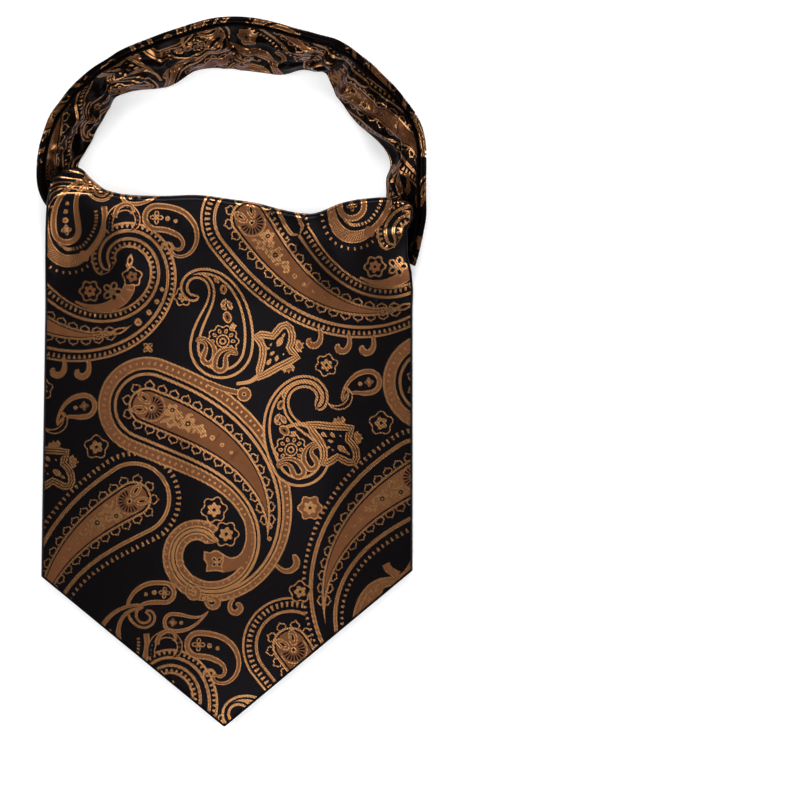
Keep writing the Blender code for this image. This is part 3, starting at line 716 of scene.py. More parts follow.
# the course of the ring that the third drop's tail turns into
RING = ((-78.4, 71.0), (-77.7, 64.3), (-77.4, 56.7), (-75.4, 50.9), (-71.3, 47.3), (-66.1, 46.9),
        (-60.8, 49.4), (-56.7, 53.7), (-53.8, 59.0), (-52.8, 64.3), (-53.2, 69.4))
# the bell of a spray, in mm along its axis and to its side: its outline, the serrated lips outside it, its
# stem, and its seeds with their length and lean
BELL = ((0.0, 0.0), (3.1, 2.3), (7.3, 5.0), (11.0, 7.8), (15.0, 10.4), (15.8, 7.5), (16.9, 5.6), (19.3, 5.5),
        (22.2, 4.3), (24.3, 2.3), (24.9, 0.2), (23.2, -1.5), (20.7, -2.1), (18.0, -2.7), (17.3, -5.3),
        (16.4, -7.5), (14.6, -9.0), (13.8, -6.4), (11.9, -4.2), (9.7, -3.0), (6.2, -1.9), (2.8, -1.2))
LIPS = (((18.2, 7.6), (21.2, 6.7), (21.7, 8.4), (20.9, 9.0), (21.5, 10.3), (20.2, 10.1), (19.7, 11.1),
         (18.7, 10.4), (17.6, 11.2), (16.9, 9.4)),
        ((7.4, 6.8), (6.5, 8.7), (7.8, 9.2), (7.2, 10.4), (8.7, 10.3), (8.6, 11.7), (10.6, 11.5),
         (11.2, 9.8)))
STEM = ((7.0, 1.0), (3.0, 0.4), (-0.6, -1.0), (-3.6, -3.0), (-6.6, -7.2))
SEEDS = ((17.4, 1.0, 4.8, 2), (11.6, 0.4, 2.6, 25), (7.8, 0.8, 3.2, 6), (10.6, 3.0, 3.0, -10),
         (13.4, 4.8, 1.2, 0), (14.6, -1.8, 1.4, 0), (20.4, 1.2, 2.2, 5), (12.6, -2.2, 2.0, 60))


def direction(degrees):
    """A step of one in a direction."""
    radians = np.radians(degrees)
    return np.stack([np.cos(radians), np.sin(radians)], axis=-1)


def cross_over(a, b, c, d):
    """Whether the stretch from a to b crosses the one from c to d."""
    def swing(start, end, point):
        return (end[0] - start[0]) * (point[1] - start[1]) - (end[1] - start[1]) * (point[0] - start[0])

    return swing(a, b, c) * swing(a, b, d) < 0 and swing(c, d, a) * swing(c, d, b) < 0


def area_of(points):
    """Area of a polygon, above nought if it is counterclockwise."""
    x, y = np.transpose(points)
    return np.sum(x * np.roll(y, -1) - y * np.roll(x, -1)) / 2


# a simple polygon with its yarn; side is 0 for both sides of the back seam, 1 for its right, -1 for its left
Figure = namedtuple("Figure", "yarn points side", defaults=(0,))


class Chart:
    """Figures painted one over another."""

    def __init__(self):
        self.shapes = []

    def paint(self, points, yarn):
        """A polygon on top of what is there; one that crosses itself is painted as two triangles."""
        points = np.asarray(points, float)
        if len(points) == 4 and (cross_over(*points) or cross_over(*points[[1, 2, 3, 0]])):
            self.paint(points[[0, 1, 2]], yarn)
            self.paint(points[[0, 2, 3]], yarn)
            return
        area = area_of(points)
        if abs(area) > 1e-3:
            self.shapes.append(Figure(yarn, points if area > 0 else points[::-1]))

    def strip(self, left, right, yarn, closed=False):
        """A ribbon between two rows of points."""
        for i in range(len(left) if closed else len(left) - 1):
            j = (i + 1) % len(left)
            self.paint([left[i], left[j], right[j], right[i]], yarn)

    def line(self, points, width, yarn=GOLD, closed=False):
        """A line of even or tapering width."""
        points = np.asarray(points, float)
        if closed:
            along = unit(np.roll(points, -1, axis=0) - np.roll(points, 1, axis=0))
        else:
            along = unit(np.gradient(points, axis=0))
        side = left_of(along)
        half = np.broadcast_to(np.asarray(width, float) / 2, (len(points),))[:, None]
        self.strip(points + side * half, points - side * half, yarn, closed)

    def disc(self, centre, radius, yarn=GOLD, sides=8, squash=1.0, turn=0.0):
        """A dot, or an oval that is squashed across its own length."""
        around = direction(np.arange(sides) * 360.0 / sides) * (radius, radius * squash)
        along, side = direction(turn), direction(turn + 90)
        self.paint(np.asarray(centre) + around[:, :1] * along + around[:, 1:] * side, yarn)

    def rosette(self, centre, radius, petals, depth=0.2, turn=0.0, yarn=GOLD, sides=5):
        """A flower's filled outline with round petals."""
        self.paint(self.petal_row(centre, radius, petals, depth, turn, sides), yarn)

    @staticmethod
    def petal_row(centre, radius, petals, depth, turn, sides=5):
        """Points round a flower's outline."""
        turns = turn + np.arange(petals * sides) * 360.0 / (petals * sides)
        reach = radius * (1 - depth + 2 * depth * np.abs(np.cos(np.radians((turns - turn) * petals / 2))))
        return np.asarray(centre) + reach[:, None] * direction(turns)


# the course of a drop: its head's centre, radius and heading, the length of its spine, how far that turns
# (sharp: how late) and coils up at the end, its width there as a share, and the part of it where it narrows
Spine = namedtuple("Spine", "x y radius heading length bend coil sharp tip start end",
                   defaults=(0.0, 1.8, 0.15, 0.0, 1.0))


class Boteh:
    """A curled drop: a spine that turns faster towards its tail, with a width that shrinks along it."""

    def __init__(self, spine, pitch=1.1):
        count = max(14, int(spine.length / pitch))
        self.flip = 1.0 if spine.bend > 0 else -1.0
        self.share = np.linspace(0.0, 1.0, count)
        self.heading = spine.heading + spine.bend * self.share ** spine.sharp + spine.coil * self.share ** 7
        self.step = spine.length / (count - 1)
        moves = direction((self.heading[1:] + self.heading[:-1]) / 2) * self.step
        self.spine = np.array([spine.x, spine.y]) + np.concatenate([[[0.0, 0.0]], np.cumsum(moves, axis=0)])
        shrink = fade((self.share - spine.start) / (spine.end - spine.start))
        closing = (self.share - 1 + TAIL / spine.length) / (TAIL / spine.length)
        close = np.sqrt(1 - np.clip(closing, 0.0, 0.99) ** 2)
        self.half = spine.radius * (spine.tip + (1 - spine.tip) * shrink) * close
        self.keep = 0.55 + 0.45 * shrink          # the bands draw together towards the tail
        cap = max(7, int(math.pi * spine.radius / pitch))
        self.cap = np.linspace(90.0, 270.0, cap)[1:-1]

    def rows(self, inset, more=0.0):
        """At an inset from the outline: its left side, its head's arc and its right side."""
        half = np.maximum(self.half - inset * self.keep - more, 0.0)[:, None]
        side = direction(self.heading + 90.0 * self.flip)
        cap = self.spine[0] + half[0] * direction(self.heading[0] + self.flip * self.cap)
        return self.spine + side * half, cap, self.spine - side * half

    def edge(self, inset, more=0.0):
        """Closed row of points at an inset from the outline: up one side, round the head and back.

        The number of points is the same for every inset, so that two rows bound a band.
        """
        left, cap, right = self.rows(inset, more)
        return np.concatenate([left[::-1], cap, right])

    def line(self, chart, inset, width, yarn=GOLD):
        """A line of even width at an inset."""
        chart.strip(self.edge(inset), self.edge(inset, width * 1.1), yarn)
        if width > BOLD:
            chart.strip(self.edge(inset, width * 0.42), self.edge(inset, width * 0.68), BROWN)

    def fill(self, chart, inset, yarn):
        """Everything within an inset: the head's disc and the spine's ribbon."""
        left, cap, right = self.rows(inset)
        chart.strip(left, right, yarn)
        chart.paint(np.concatenate([left[:1], cap, right[:1]]), yarn)

    def stations(self, inset, pitch, margin=0.0):
        """Evenly spaced places along a row: points, along and inward directions, and how bands draw in."""
        row = self.edge(inset)
        half = np.maximum(self.half - inset * self.keep, 0.0)
        live = np.concatenate([half[::-1], np.full(len(self.cap), half[0]), half]) > margin
        runs = np.linalg.norm(np.diff(row, axis=0), axis=1)
        at = np.concatenate([[0.0], np.cumsum(runs)])
        first, last = at[live][0], at[live][-1]
        count = max(1, int((last - first) / pitch))
        spots = first + (np.arange(count) + 0.5) * (last - first) / count
        points, ahead, back = (np.stack([np.interp(spots + move, at, row[:, k]) for k in (0, 1)], axis=1)
                               for move in (0.0, 0.2, -0.2))
        keep = np.concatenate([self.keep[::-1], np.full(len(self.cap), self.keep[0]), self.keep])
        keep = np.interp(spots, at, keep)
        along = unit(ahead - back)
        return points, along, left_of(along) * self.flip, keep

    def teeth(self, chart, inset, pitch, width, height, yarn=GOLD, taper=0.5, margin=0.3):
        """A row of small blocks across a band."""
        for point, along, inward, keep in zip(*self.stations(inset, pitch, margin)):
            low, high = point - inward * height * keep / 2, point + inward * height * keep / 2
            near, far = along * width / 2, along * width / 2 * taper
            chart.paint([low - near, low + near, high + far, high - far], yarn)

    def scallops(self, chart, inset, pitch, height, width, yarn=GOLD, margin=0.8):
        """Arches that stand outwards on a line."""
        for point, along, inward, keep in zip(*self.stations(inset, pitch, margin)):
            chart.line([point + along * pitch * a - inward * height * keep * b for a, b in ARCH], width, yarn)

    def room(self, along):
        """Share of the head's width that is left at a distance along the spine."""
        return np.interp(along / self.step, np.arange(len(self.half)), self.half / self.half[0])

    def local(self, along, aside=0.0):
        """The place at a distance along the spine and to its left, and the heading there."""
        index = np.clip(along / self.step, 0, len(self.spine) - 1.001)
        low = int(index)
        spot = self.spine[low] + (self.spine[low + 1] - self.spine[low]) * (index - low)
        heading = self.heading[low]
        if along < 0:
            spot = self.spine[0] + direction(heading) * along
        return spot + direction(heading + 90.0) * aside, heading


def flower(chart, centre, radius, petals=6, turn=0.0, heart=GOLD, line=0.6, field=GROUND):
    """A little flower: petals in outline round a filled heart."""
    chart.rosette(centre, radius, petals, 0.17, turn, GOLD)
    chart.rosette(centre, radius - line, petals, 0.2, turn, field)
    chart.rosette(centre, radius * 0.5, petals, 0.25, turn + 20, heart)
    chart.disc(centre, radius * 0.16, GROUND, 6)


def cinquefoil(chart, centre, radius, petals=5, turn=0.0):
    """A flower of separate petals, each in outline."""
    for index in range(petals):
        spoke = turn + 360.0 * index / petals
        spot = np.asarray(centre) + direction(spoke) * radius * 0.58
        chart.disc(spot, radius * 0.44, GOLD, 9, 0.85, spoke)
        chart.disc(spot, radius * 0.26, GROUND, 7, 0.7, spoke)
    chart.disc(centre, radius * 0.24, GOLD, 7)


def leaf(chart, centre, length, turn, width=0.34, yarn=GOLD, eye=GROUND):
    """A pointed leaf with a slit."""
    along, side = direction(turn) * length, direction(turn + 90) * length * width / 2
    for scale, colour in ((1.0, yarn), (0.5, eye)):
        if colour is not None:
            chart.paint([np.asarray(centre) + (along * a + side * b) * scale for a, b in LEAF], colour)


def comma(chart, x, y, length, heading, bend, ball=1.3, width=1.0):
    """A stem that curls into a ball."""
    hook = Boteh(Spine(x, y, width / 2, heading, length, bend, 0.0, 1.6, 1.0), 0.9)
    chart.line(hook.spine, width, GOLD)
    chart.disc(hook.spine[-1], ball, GOLD, 9)
    chart.disc(hook.spine[-1], ball * 0.5, BROWN, 6)


def crook(chart, x, y, length, heading, bend, coil=0.0, width=2.4, core=BROWN, dots=False):
    """A curled stem with gold edges, in brown or dark with a row of dots."""
    stem = Boteh(Spine(x, y, width / 2, heading, length, bend, coil, 1.3, 0.6, 0.2, 1.1), 0.9)
    chart.line(stem.spine, stem.half * 2, GOLD)
    chart.line(stem.spine, np.maximum(stem.half * 2 - 0.95, 0.15), core)
    for index in range(1, len(stem.spine) - 2, 2) if dots else ():
        chart.disc(stem.spine[index], 0.28, GOLD, 5)


def stocking(chart, x, y, length, heading, bend, sharp=2.2, foot=2.9):
    """A brown stem with gold edges that thickens to a rounded end as it curls."""
    stem = Boteh(Spine(x, y, foot / 2, heading, length, bend, 0.0, sharp, 1.0), 0.7)
    wide = foot * (0.55 + 0.45 * np.minimum(1.0, 1.6 * stem.share)) * stem.half / stem.half[0]
    chart.line(stem.spine, wide, GOLD)
    chart.line(stem.spine[:-1], np.maximum(wide[:-1] - 1.1, 0.15), BROWN)


# flowers and leaves down the middle of a big drop, in shares of the filigree's size: how far along and
# aside, and then radius and petals, or the turn of a leaf
BLOOMS = ((1.75, 0.42, 0.4, 5), (2.0, -0.4, 0.36, 4), (2.35, 0.25, 0.26, 4), (3.15, 0.0, 0.5, 6),
          (4.1, 0.12, 0.3, 4), (4.45, -0.12, 0.26, 4))
LEAVES = ((1.45, -0.55, 50), (1.5, 0.0, 0), (2.6, -0.4, -40), (3.0, 0.62, 30), (3.75, -0.3, 60))


def filigree(chart, drop, size, reach):
    """Loops, a fan of dashes, flowers and dwindling dots down the middle of a filled drop."""
    for side in (1, -1):
        spot, heading = drop.local(-0.42 * size, side * 0.44 * size)
        for radius, yarn, sides, squash in ((0.6, GOLD, 12, 0.55), (0.5, BROWN, 11, 0.46),
                                            (0.34, GOLD, 10, 0.42), (0.24, GROUND, 8, 0.36)):
            chart.disc(spot, radius * size, yarn, sides, squash, heading - 22 * side)
    fan, heading = drop.local(0.35 * size)
    for turn in range(-100, 101, 20):
        ray, side = direction(heading + turn), direction(heading + turn + 90) * 0.04 * size
        low, high = fan + ray * 0.38 * size, fan + ray * 0.8 * size
        chart.paint([low - side, low + side, high + side * 2.1, high - side * 2.1], GROUND)
    chart.disc(fan, 0.22 * size, GOLD, 9)
    chart.disc(fan, 0.11 * size, GROUND, 7)
    chart.line([fan + direction(heading + turn) * 0.95 * size for turn in range(-110, 111, 15)], 0.5, GOLD)
    for along, aside, radius, petals in BLOOMS:
        if along * size < reach:
            room = drop.room(along * size)
            spot, heading = drop.local(along * size, aside * size * room)
            chart.rosette(spot, radius * size * room, petals, 0.28, heading, GOLD)
            chart.disc(spot, radius * 0.42 * size * room, GROUND if petals > 4 else BROWN, 7)
            chart.disc(spot, radius * 0.2 * size * room, GOLD, 6)
    for along, aside, turn in LEAVES:
        if along * size < reach:
            room = drop.room(along * size)
            spot, heading = drop.local(along * size, aside * size * room)
            leaf(chart, spot, 0.52 * size * room, heading + turn, 0.5, GOLD, None)
    along, radius = 5.15 * size, 0.2 * size
    while along < reach:
        spot, _ = drop.local(along)
        chart.disc(spot, radius, GOLD, 8)
        chart.disc(spot, radius * 0.45, BROWN, 6)
        along, radius = along + 0.85 * size, radius * 0.78


def heart_of(chart, drop, inset, size, reach):
    """What the big drops share: a scalloped line round a brown field with filigree."""
    drop.line(chart, inset, THIN)
    drop.scallops(chart, inset + 0.1, 5.2, 3.2, 0.55, margin=0.5)
    drop.fill(chart, inset + 1.75, BROWN)
    filigree(chart, drop, size, reach)


def crescent(chart, x, y, length, heading, bend, sharp, width):
    """A brown moon with a gold edge."""
    moon = Boteh(Spine(x, y, 0.3, heading, length, bend, 0.0, sharp))
    grow = width * np.sin(np.pi * moon.share ** 1.3) ** 1.3 + 0.2
    chart.line(moon.spine, grow + 0.9, GOLD)
    chart.line(moon.spine, grow, BROWN)


def drop_a():
    """Ladder of two thin lines with teeth between, then a bold line; flowers in the bend of its tail."""
    chart = Chart()
    drop = Boteh(Spine(7.3, 64.3, 21.0, -56.2, 158.8, 250.7, 126.4, 1.78, 0.25, -0.1, 0.78))
    drop.fill(chart, 0.0, GROUND)
    drop.line(chart, 0.0, 0.85)
    drop.teeth(chart, 3.0, 2.15, 1.25, 2.2)
    drop.line(chart, 5.4, 1.15)
    heart_of(chart, drop, 12.8, 5.9, 46)
    for along, radius, petals in ((71.0, 1.8, 5), (74.5, 1.6, 5)):
        spot, heading = drop.local(along)
        flower(chart, spot, radius, petals)
    spot, heading = drop.local(80.5)
    leaf(chart, spot, 8.0, heading, 0.36)
    for along, radius in ((89.0, 1.7), (95.0, 1.25), (100.5, 1.1), (106.0, 1.0)):
        spot, heading = drop.local(along, -0.4)
        chart.disc(spot, radius, GOLD, 8)
        chart.disc(spot, radius * 0.4, BROWN, 6)
    crescent(chart, 53.5, 40.0, 37.0, -28, 150, 1.3, 4.4)
    flower(chart, (77.4, 50.3), 3.9, 5, 90, BROWN)
    leaf(chart, (76.6, 57.2), 5.5, 80, 0.5)
    flower(chart, (59.7, 44.2), 4.2, 6, 0, BROWN, 0.9)
    cinquefoil(chart, (69.0, 44.0), 4.3)
    return chart


def drop_b():
    """A brown band with gold edges and dots, then a line; a bud in the bend of its tail."""
    chart = Chart()
    drop = Boteh(Spine(-35.5, -13.8, 20.6, -22, 167, -300, -110, 1.9, 0.21, 0.05, 0.7))
    drop.fill(chart, 0.0, GROUND)
    chart.strip(drop.edge(0.0), drop.edge(5.2), BROWN)
    drop.line(chart, 0.0, 0.75)
    drop.line(chart, 4.5, 0.75)
    drop.teeth(chart, 2.6, 2.6, 0.9, 1.3, GOLD, 0.9)
    drop.line(chart, 6.6, 1.1)
    heart_of(chart, drop, 12.8, 5.9, 42)
    for along in (76.0, 81.0):
        spot, heading = drop.local(along, 1.0)
        chart.disc(spot, 1.0, GOLD, 7)
        chart.disc(spot, 0.4, GROUND, 5)
    flower(chart, (-7.5, -57.2), 5.0, 6, 10)
    flower(chart, (-2.5, -67.4), 4.9, 6, 0)
    inner = smooth(((-4.4, -75.6), (-0.6, -77.4), (3.0, -76.2), (5.2, -72.6), (6.0, -67.6), (5.2, -61.6)), 4)
    outer = smooth(((-4.4, -83.6), (1.2, -82.4), (5.6, -79.2), (7.6, -74.6), (8.2, -68.0), (6.6, -60.8)), 4)
    chart.strip(inner, outer, BROWN)
    chart.line(inner, 0.6, GOLD)
    bud = np.array(BUD)
    chart.paint(bud, GOLD)
    chart.paint(bud.mean(axis=0) + (bud - bud.mean(axis=0)) * 0.84, BROWN)
    cinquefoil(chart, (-6.4, -79.0), 2.6, 4, 45)
    stocking(chart, 18.6, -80.4, 15.0, -52, 205, 1.3)
    for x, y, heading in ((-18.2, -88.6, 245), (-10.4, -92.8, 250), (0.6, -94.4, 225)):
        stocking(chart, x, y, 14.0, heading, 330, 1.5, 2.7)
    return chart


def drop_c():
    """A bold line with teeth standing outside it, and the ring of twill that its tail turns into."""
    chart = Chart()
    drop = Boteh(Spine(-41.1, -52.6, 20.2, -150, 96.0, 95, 0, 1.5, 0.3, -0.1, 1.05))
    drop.fill(chart, 0.0, GROUND)
    drop.teeth(chart, 1.1, 2.4, 1.25, 2.0)
    drop.line(chart, 4.3, 1.55)
    heart_of(chart, drop, 12.6, 5.8, 42)

    ring = smooth(RING, 6)
    share = np.linspace(0.0, 1.0, len(ring))
    grow = np.interp(share, (0.0, 0.15, 0.36, 0.52, 0.62, 1.0), (1.0, 1.8, 4.2, 3.8, 1.6, 1.3))
    chart.line(ring, grow + 1.2, GOLD)
    chart.line(ring, grow, BROWN)
    ahead = unit(np.gradient(ring, axis=0))
    side = left_of(ahead)
    for index in range(6, int(len(side) * 0.62)):
        reach, lean = side[index] * grow[index] * 0.42, ahead[index] * 0.8
        chart.line([ring[index] + reach + lean, ring[index] - reach - lean], 0.3, GOLD)
    chart.rosette(ring[int(len(ring) * 0.58)], 2.2, 4, 0.15, 30.0, BROWN)
    for index in range(2, len(side) - 1, 2):
        for way in (1, -1):
            if way > 0 or 10 < index < len(side) * 0.6:
                spot = ring[index] + side[index] * way * (grow[index] / 2 + 2.3)
                chart.line([spot, spot + side[index] * way * 1.3], 0.8, GOLD)
    return chart


def small_drop(spine, inset, bloom, dots):
    """A small drop in a brown band, with a flower and dots inside."""
    chart = Chart()
    drop = Boteh(spine, 0.9)
    drop.fill(chart, 0.0, GOLD)
    drop.fill(chart, 0.6, BROWN)
    drop.fill(chart, inset, GOLD)
    drop.fill(chart, inset + 0.55, GROUND)
    spot, turn = drop.local(0.0)
    cinquefoil(chart, spot, bloom, 4, turn)
    along = bloom + 1.8
    for dot in dots:
        spot, _ = drop.local(along)
        chart.disc(spot, dot, GOLD, 7)
        chart.disc(spot, dot * 0.45, BROWN, 5)
        along += dot + 2.4
    return chart


def curl(chart, x, y, heading, turn):
    """A small brown curl with gold edges and a dark slit."""
    small = Boteh(Spine(x, y, 3.5, heading, 12.0, turn, 0.0, 1.5, 0.44, 0.1, 0.72), 0.9)
    for inset, yarn in ((0.0, GOLD), (0.6, BROWN), (1.9, GOLD), (2.45, GROUND)):
        small.fill(chart, inset, yarn)


def teardrop(spine, bloom, curls):
    """A drop in two thin lines, with a flower, curls and leaves on a dark field."""
    chart = Chart()
    drop = Boteh(spine, 0.9)
    drop.fill(chart, 0.0, GROUND)
    for inset in (0.0, 3.3):
        drop.line(chart, inset, 0.95)
    chart.rosette(bloom, 6.4, 10, 0.1, 0.0, GOLD)
    chart.rosette(bloom, 5.8, 10, 0.12, 0.0, GROUND)
    for spoke in range(0, 360, 36):
        petal = np.asarray(bloom) + direction(spoke) * 4.3
        chart.disc(petal, 1.05, GOLD, 8, 0.75, spoke)
        chart.disc(petal, 0.55, GROUND, 6, 0.6, spoke)
    for ring, yarn in ((2.9, GOLD), (2.3, GROUND), (1.5, GOLD), (0.8, GROUND)):
        chart.disc(bloom, ring, yarn, 11)
    for hook in curls:
        curl(chart, *hook)
    spot, heading = drop.local(9.2, -3.6)
    chart.paint(spot + np.array([direction(heading + spoke) * 1.6 for spoke in (20, 110, 200, 290)]), GOLD)
    for along, size, lean in ((12.6, 2.6, 20), (24.0, 2.1, -15)):
        spot, heading = drop.local(along, -0.8)
        chart.disc(spot, size, GOLD, 10, 0.72, heading + lean)
        chart.disc(spot, size - 0.55, BROWN, 9, 0.62, heading + lean)
        chart.disc(spot, size * 0.4, GROUND, 7, 0.5, heading + lean)
    for along, aside, size, lean in ((17.6, -1.8, 4.6, 20), (18.6, 0.6, 4.4, -35), (16.6, 0.8, 3.4, 50),
                                     (28.6, -0.4, 3.2, 10)):
        spot, heading = drop.local(along, aside)
        leaf(chart, spot, size, heading + lean, 0.5, GOLD, BROWN)
    return chart


def sprig(x, y, heading, flip):
    """A bell in nested lines on a stem, with serrated lips."""
    chart = Chart()
    along, side = direction(heading), direction(heading - 90 * flip)

    def at(rows):
        return np.array([np.array([x, y]) + along * a + side * b for a, b in rows])

    stem = smooth(at(STEM), 3)
    chart.line(stem, np.linspace(2.6, 1.3, len(stem)), GOLD)
    for lip in LIPS:
        chart.paint(at(lip), GOLD)
        middle = np.mean(at(lip), axis=0)
        chart.paint(middle + (at(lip) - middle) * 0.5, BROWN)
    outline = at(BELL)
    chart.paint(outline, GROUND)
    for width, yarn in ((3.1, GOLD), (1.45, GROUND), (0.75, GOLD)):
        chart.line(outline, width, yarn, closed=True)
    for a, b, length, turn in SEEDS:
        leaf(chart, at([(a, b)])[0], length, heading - turn * flip, 0.55, GOLD, None)
    return chart


def small_things():
    """Flowers, crooks, commas and sprays between the drops."""
    chart = Chart()
    flower(chart, (39.5, 3.3), 4.3, 6, 15)
    flower(chart, (-56.8, -31.0), 4.6, 5, 90)
    flower(chart, (32.6, -56.4), 4.7, 6, 0, GOLD, 0.6, BROWN)
    flower(chart, (28.4, -91.5), 4.2, 5, 90)
    flower(chart, (-20.5, 31.8), 3.6, 6, 0)
    cinquefoil(chart, (-35.2, 10.6), 2.4, 4, 45)
    for x, y in ((36.6, 18.8), (48.6, 16.4), (58.8, 15.8)):
        stocking(chart, x, y, 13.5, -78, -250)
    comma(chart, -29.5, 51.5, 7.6, 70, -180, 0.9, 1.3)
    root = smooth(((-10.0, -4.0), (-5.0, -6.2), (0.0, -7.6), (4.0, -8.4)), 3)
    for width, yarn in ((2.4, GOLD), (1.5, BROWN)):
        chart.line(root, width, yarn)
    for radius, yarn in ((3.1, GOLD), (2.5, BROWN), (1.0, GOLD), (0.5, GROUND)):
        chart.disc((5.0, -8.9), radius, yarn, 12)
    crook(chart, -33.8, -118.5, 27.0, 97, -255, 0.0, 3.4, GROUND, True)
    crook(chart, -31.4, -113.6, 15.0, 88, -190, -90.0, 2.0)
    moon = Boteh(Spine(40.2, -12.6, 1.0, -50, 17.5, 190, 40, 1.0, 0.3), 0.9)
    width = 2.2 * np.sin(np.pi * np.clip(moon.share * 0.94 + 0.03, 0, 1)) + 0.35
    chart.line(moon.spine, width, GOLD)
    chart.line(moon.spine[3:-4], width[3:-4] - 1.1, GROUND)
    return chart


# small drops: their spine, how far in their dark field starts, and the sizes of the flower and dots in it
Small = namedtuple("Small", "spine inset bloom dots")
SMALL_DROPS = (
    Small(Spine(57.2, -3.8, 5.6, -172, 15.0, 75, 0, 1.6, 0.2, 0.1, 0.95), 1.7, 1.9, (1.0,)),
    Small(Spine(-28.3, -91.9, 5.1, 175, 36.0, 290, 110, 1.6, 0.3, 0.1, 0.7), 1.5, 2.5, (1.1, 0.9)),
    Small(Spine(-24.8, -104.3, 4.4, -5, 16.5, 60, 0, 1.6, 0.12, 0.1, 0.95), 1.2, 1.7, (0.9,)),
    Small(Spine(-31.3, 64.8, 6.1, -2, 30.5, -190, -90, 1.6, 0.32, 0.25, 0.95), 1.9, 2.8, (1.1, 0.9)),
    Small(Spine(-69.0, 59.6, 6.4, 96, 30.0, -110, 0, 1.6, 0.24, 0.05, 0.9), 2.0, 2.2, (1.3, 1.0, 0.8)),
)
# drops in two thin lines: their spine, the place of their flower, and place, heading and bend of their curls
Tear = namedtuple("Tear", "spine bloom curls")
TEARDROPS = (
    Tear(Spine(-4.6, 10.9, 13.4, 80, 54.7, 288, 30, 2.6, 0.13, 0.015, 0.76), (-3.9, 13.3),
         ((-10.0, 6.2, 68, 150), (-5.0, 3.2, 92, -160))),
    Tear(Spine(28.2, -34.8, 13.4, 130, 56.4, -238, -50, 1.8, 0.2, -0.1, 0.62), (24.6, -32.1),
         ((33.2, -38.0, 125, -160), (27.8, -41.2, 113, 150))),
)
# sprays: place and heading of their axis, and -1 where the bell is turned over
SPRIGS = ((11.2, -1.9, 63, 1), (32.0, -21.4, -40, -1))


def repeat():
    """The charts of one repeat, the lowest first."""
    charts = [drop_a(), drop_c(), drop_b()] + [small_drop(*row) for row in SMALL_DROPS] + [small_things()]
    return charts + [teardrop(*row) for row in TEARDROPS] + [sprig(*row) for row in SPRIGS]


def on_side(figures, place, side):
    """The figures that reach one side of an upright line: right of it for 1, left of it for -1."""
    return [figure._replace(side=side) for figure in figures
            if np.any((figure.points[:, 0] - place) * side > 0)]


def woven(outline, squeeze=(1.0, 1.0), turn=0.0, shift=(0.0, 0.0)):
    """All figures of the repeat that touch an outline of flat cloth.

    The chart is turned, then squeezed along the cloth's own axes where the cloth is gathered, then moved.
    """
    along, side = direction(turn), direction(turn + 90)
    frame_of = np.array([along, side]) * np.asarray(squeeze)
    reach = int(np.ceil(np.ptp(outline, axis=0).max() / min(squeeze) / LEAST_STEP)) + 1
    low, high = outline.min(axis=0) - 3.0, outline.max(axis=0) + 3.0
    found = []
    for chart in repeat():
        shapes = [Figure(shape.yarn, shape.points @ frame_of + shift) for shape in chart.shapes]
        flat = np.concatenate([shape.points for shape in shapes])
        starts = np.cumsum([0] + [len(shape.points) for shape in shapes[:-1]])
        lowest, highest = (tool.reduceat(flat, starts, axis=0) for tool in (np.minimum, np.maximum))
        for i in range(-reach, reach + 1):
            for j in range(-reach, reach + 1):
                step = (np.array(ACROSS) * i + np.array(ALONG) * j) @ frame_of
                near = np.all((highest + step > low) & (lowest + step < high), axis=1)
                found += [Figure(shapes[index].yarn, shapes[index].points + step)
                          for index in np.flatnonzero(near)]
    return found


def corner_marks():
    """Where gathers hide the repeat: lines along the folds, and the drop that the right edge cuts."""
    chart = Chart()
    for line, width in GATHER_LINES:
        chart.line(smooth(line, 4), width, GOLD)
    drop = np.concatenate([smooth(EDGE_DROP[0], 4), smooth(EDGE_DROP[1], 4)[::-1]])
    chart.paint(drop, BROWN)
    chart.line(smooth(EDGE_DROP[0], 4), 0.8, GOLD)
    chart.line(smooth(EDGE_DROP[1], 4), 0.7, GOLD)
    chart.line(smooth([(x + 1.5, y - 1.4) for x, y in EDGE_DROP[0][:-2]], 4), 0.6, GOLD)
    for x, y in ((58.6, -92.0), (60.4, -90.6), (57.4, -94.6)):
        leaf(chart, (x, y), 2.6, 70, 0.4, GOLD, None)
    for width, yarn in ((3.4, GOLD), (2.3, BROWN)):
        chart.line(smooth(((64.2, -79.8), (65.8, -82.4), (69.6, -84.6)), 4), width, yarn)
    return chart.shapes


# --- front blade shell ----------------------------------------------------------------------------
def roll_points(pitch):
    """Close rows of flat points over the fold, where the cloth bends most."""
    tops = np.arange(COLUMNS[0].x + 1.2, COLUMNS[-1].x - 1.0, pitch)
    top = read(COLUMNS, "x", "y", tops)
    rows = [top - ROLL_RADIUS + ROLL_RADIUS * math.radians(turn) for turn in range(0, 91, 10)]
    return np.concatenate([np.stack([tops, row], axis=1) for row in rows])


def build_front():
    """The front blade: up behind the crossing, over it, and down to the point."""
    outline = front_outline(FRONT_HALF * 1.1, 3.0)
    return shell("front_silk", outline, front_surface, FRONT_HALF, pitch=1.8, lip=1.6,
                 fine=[roll_points(1.8)], figures=woven(outline) + corner_marks())


# --- back blade shell -----------------------------------------------------------------------------
SEAM_DEPTH = 0.5           # how far the seam lies in
SEAM_SLIT = ((-0.2, -150.0), (0.2, -150.0), (0.2, 80.0), (-0.2, 80.0))      # the dark line between its edges


def back_surface(points):
    """Middle of the back blade and its patterned side, which faces the table."""
    height = BLADE_THICK / 2 + SEAM_DEPTH * bell(points[:, 0] - BACK_SEAM, 0.6)
    return np.column_stack([points, height]), np.tile([0.0, 0.0, -1.0], (len(points), 1))


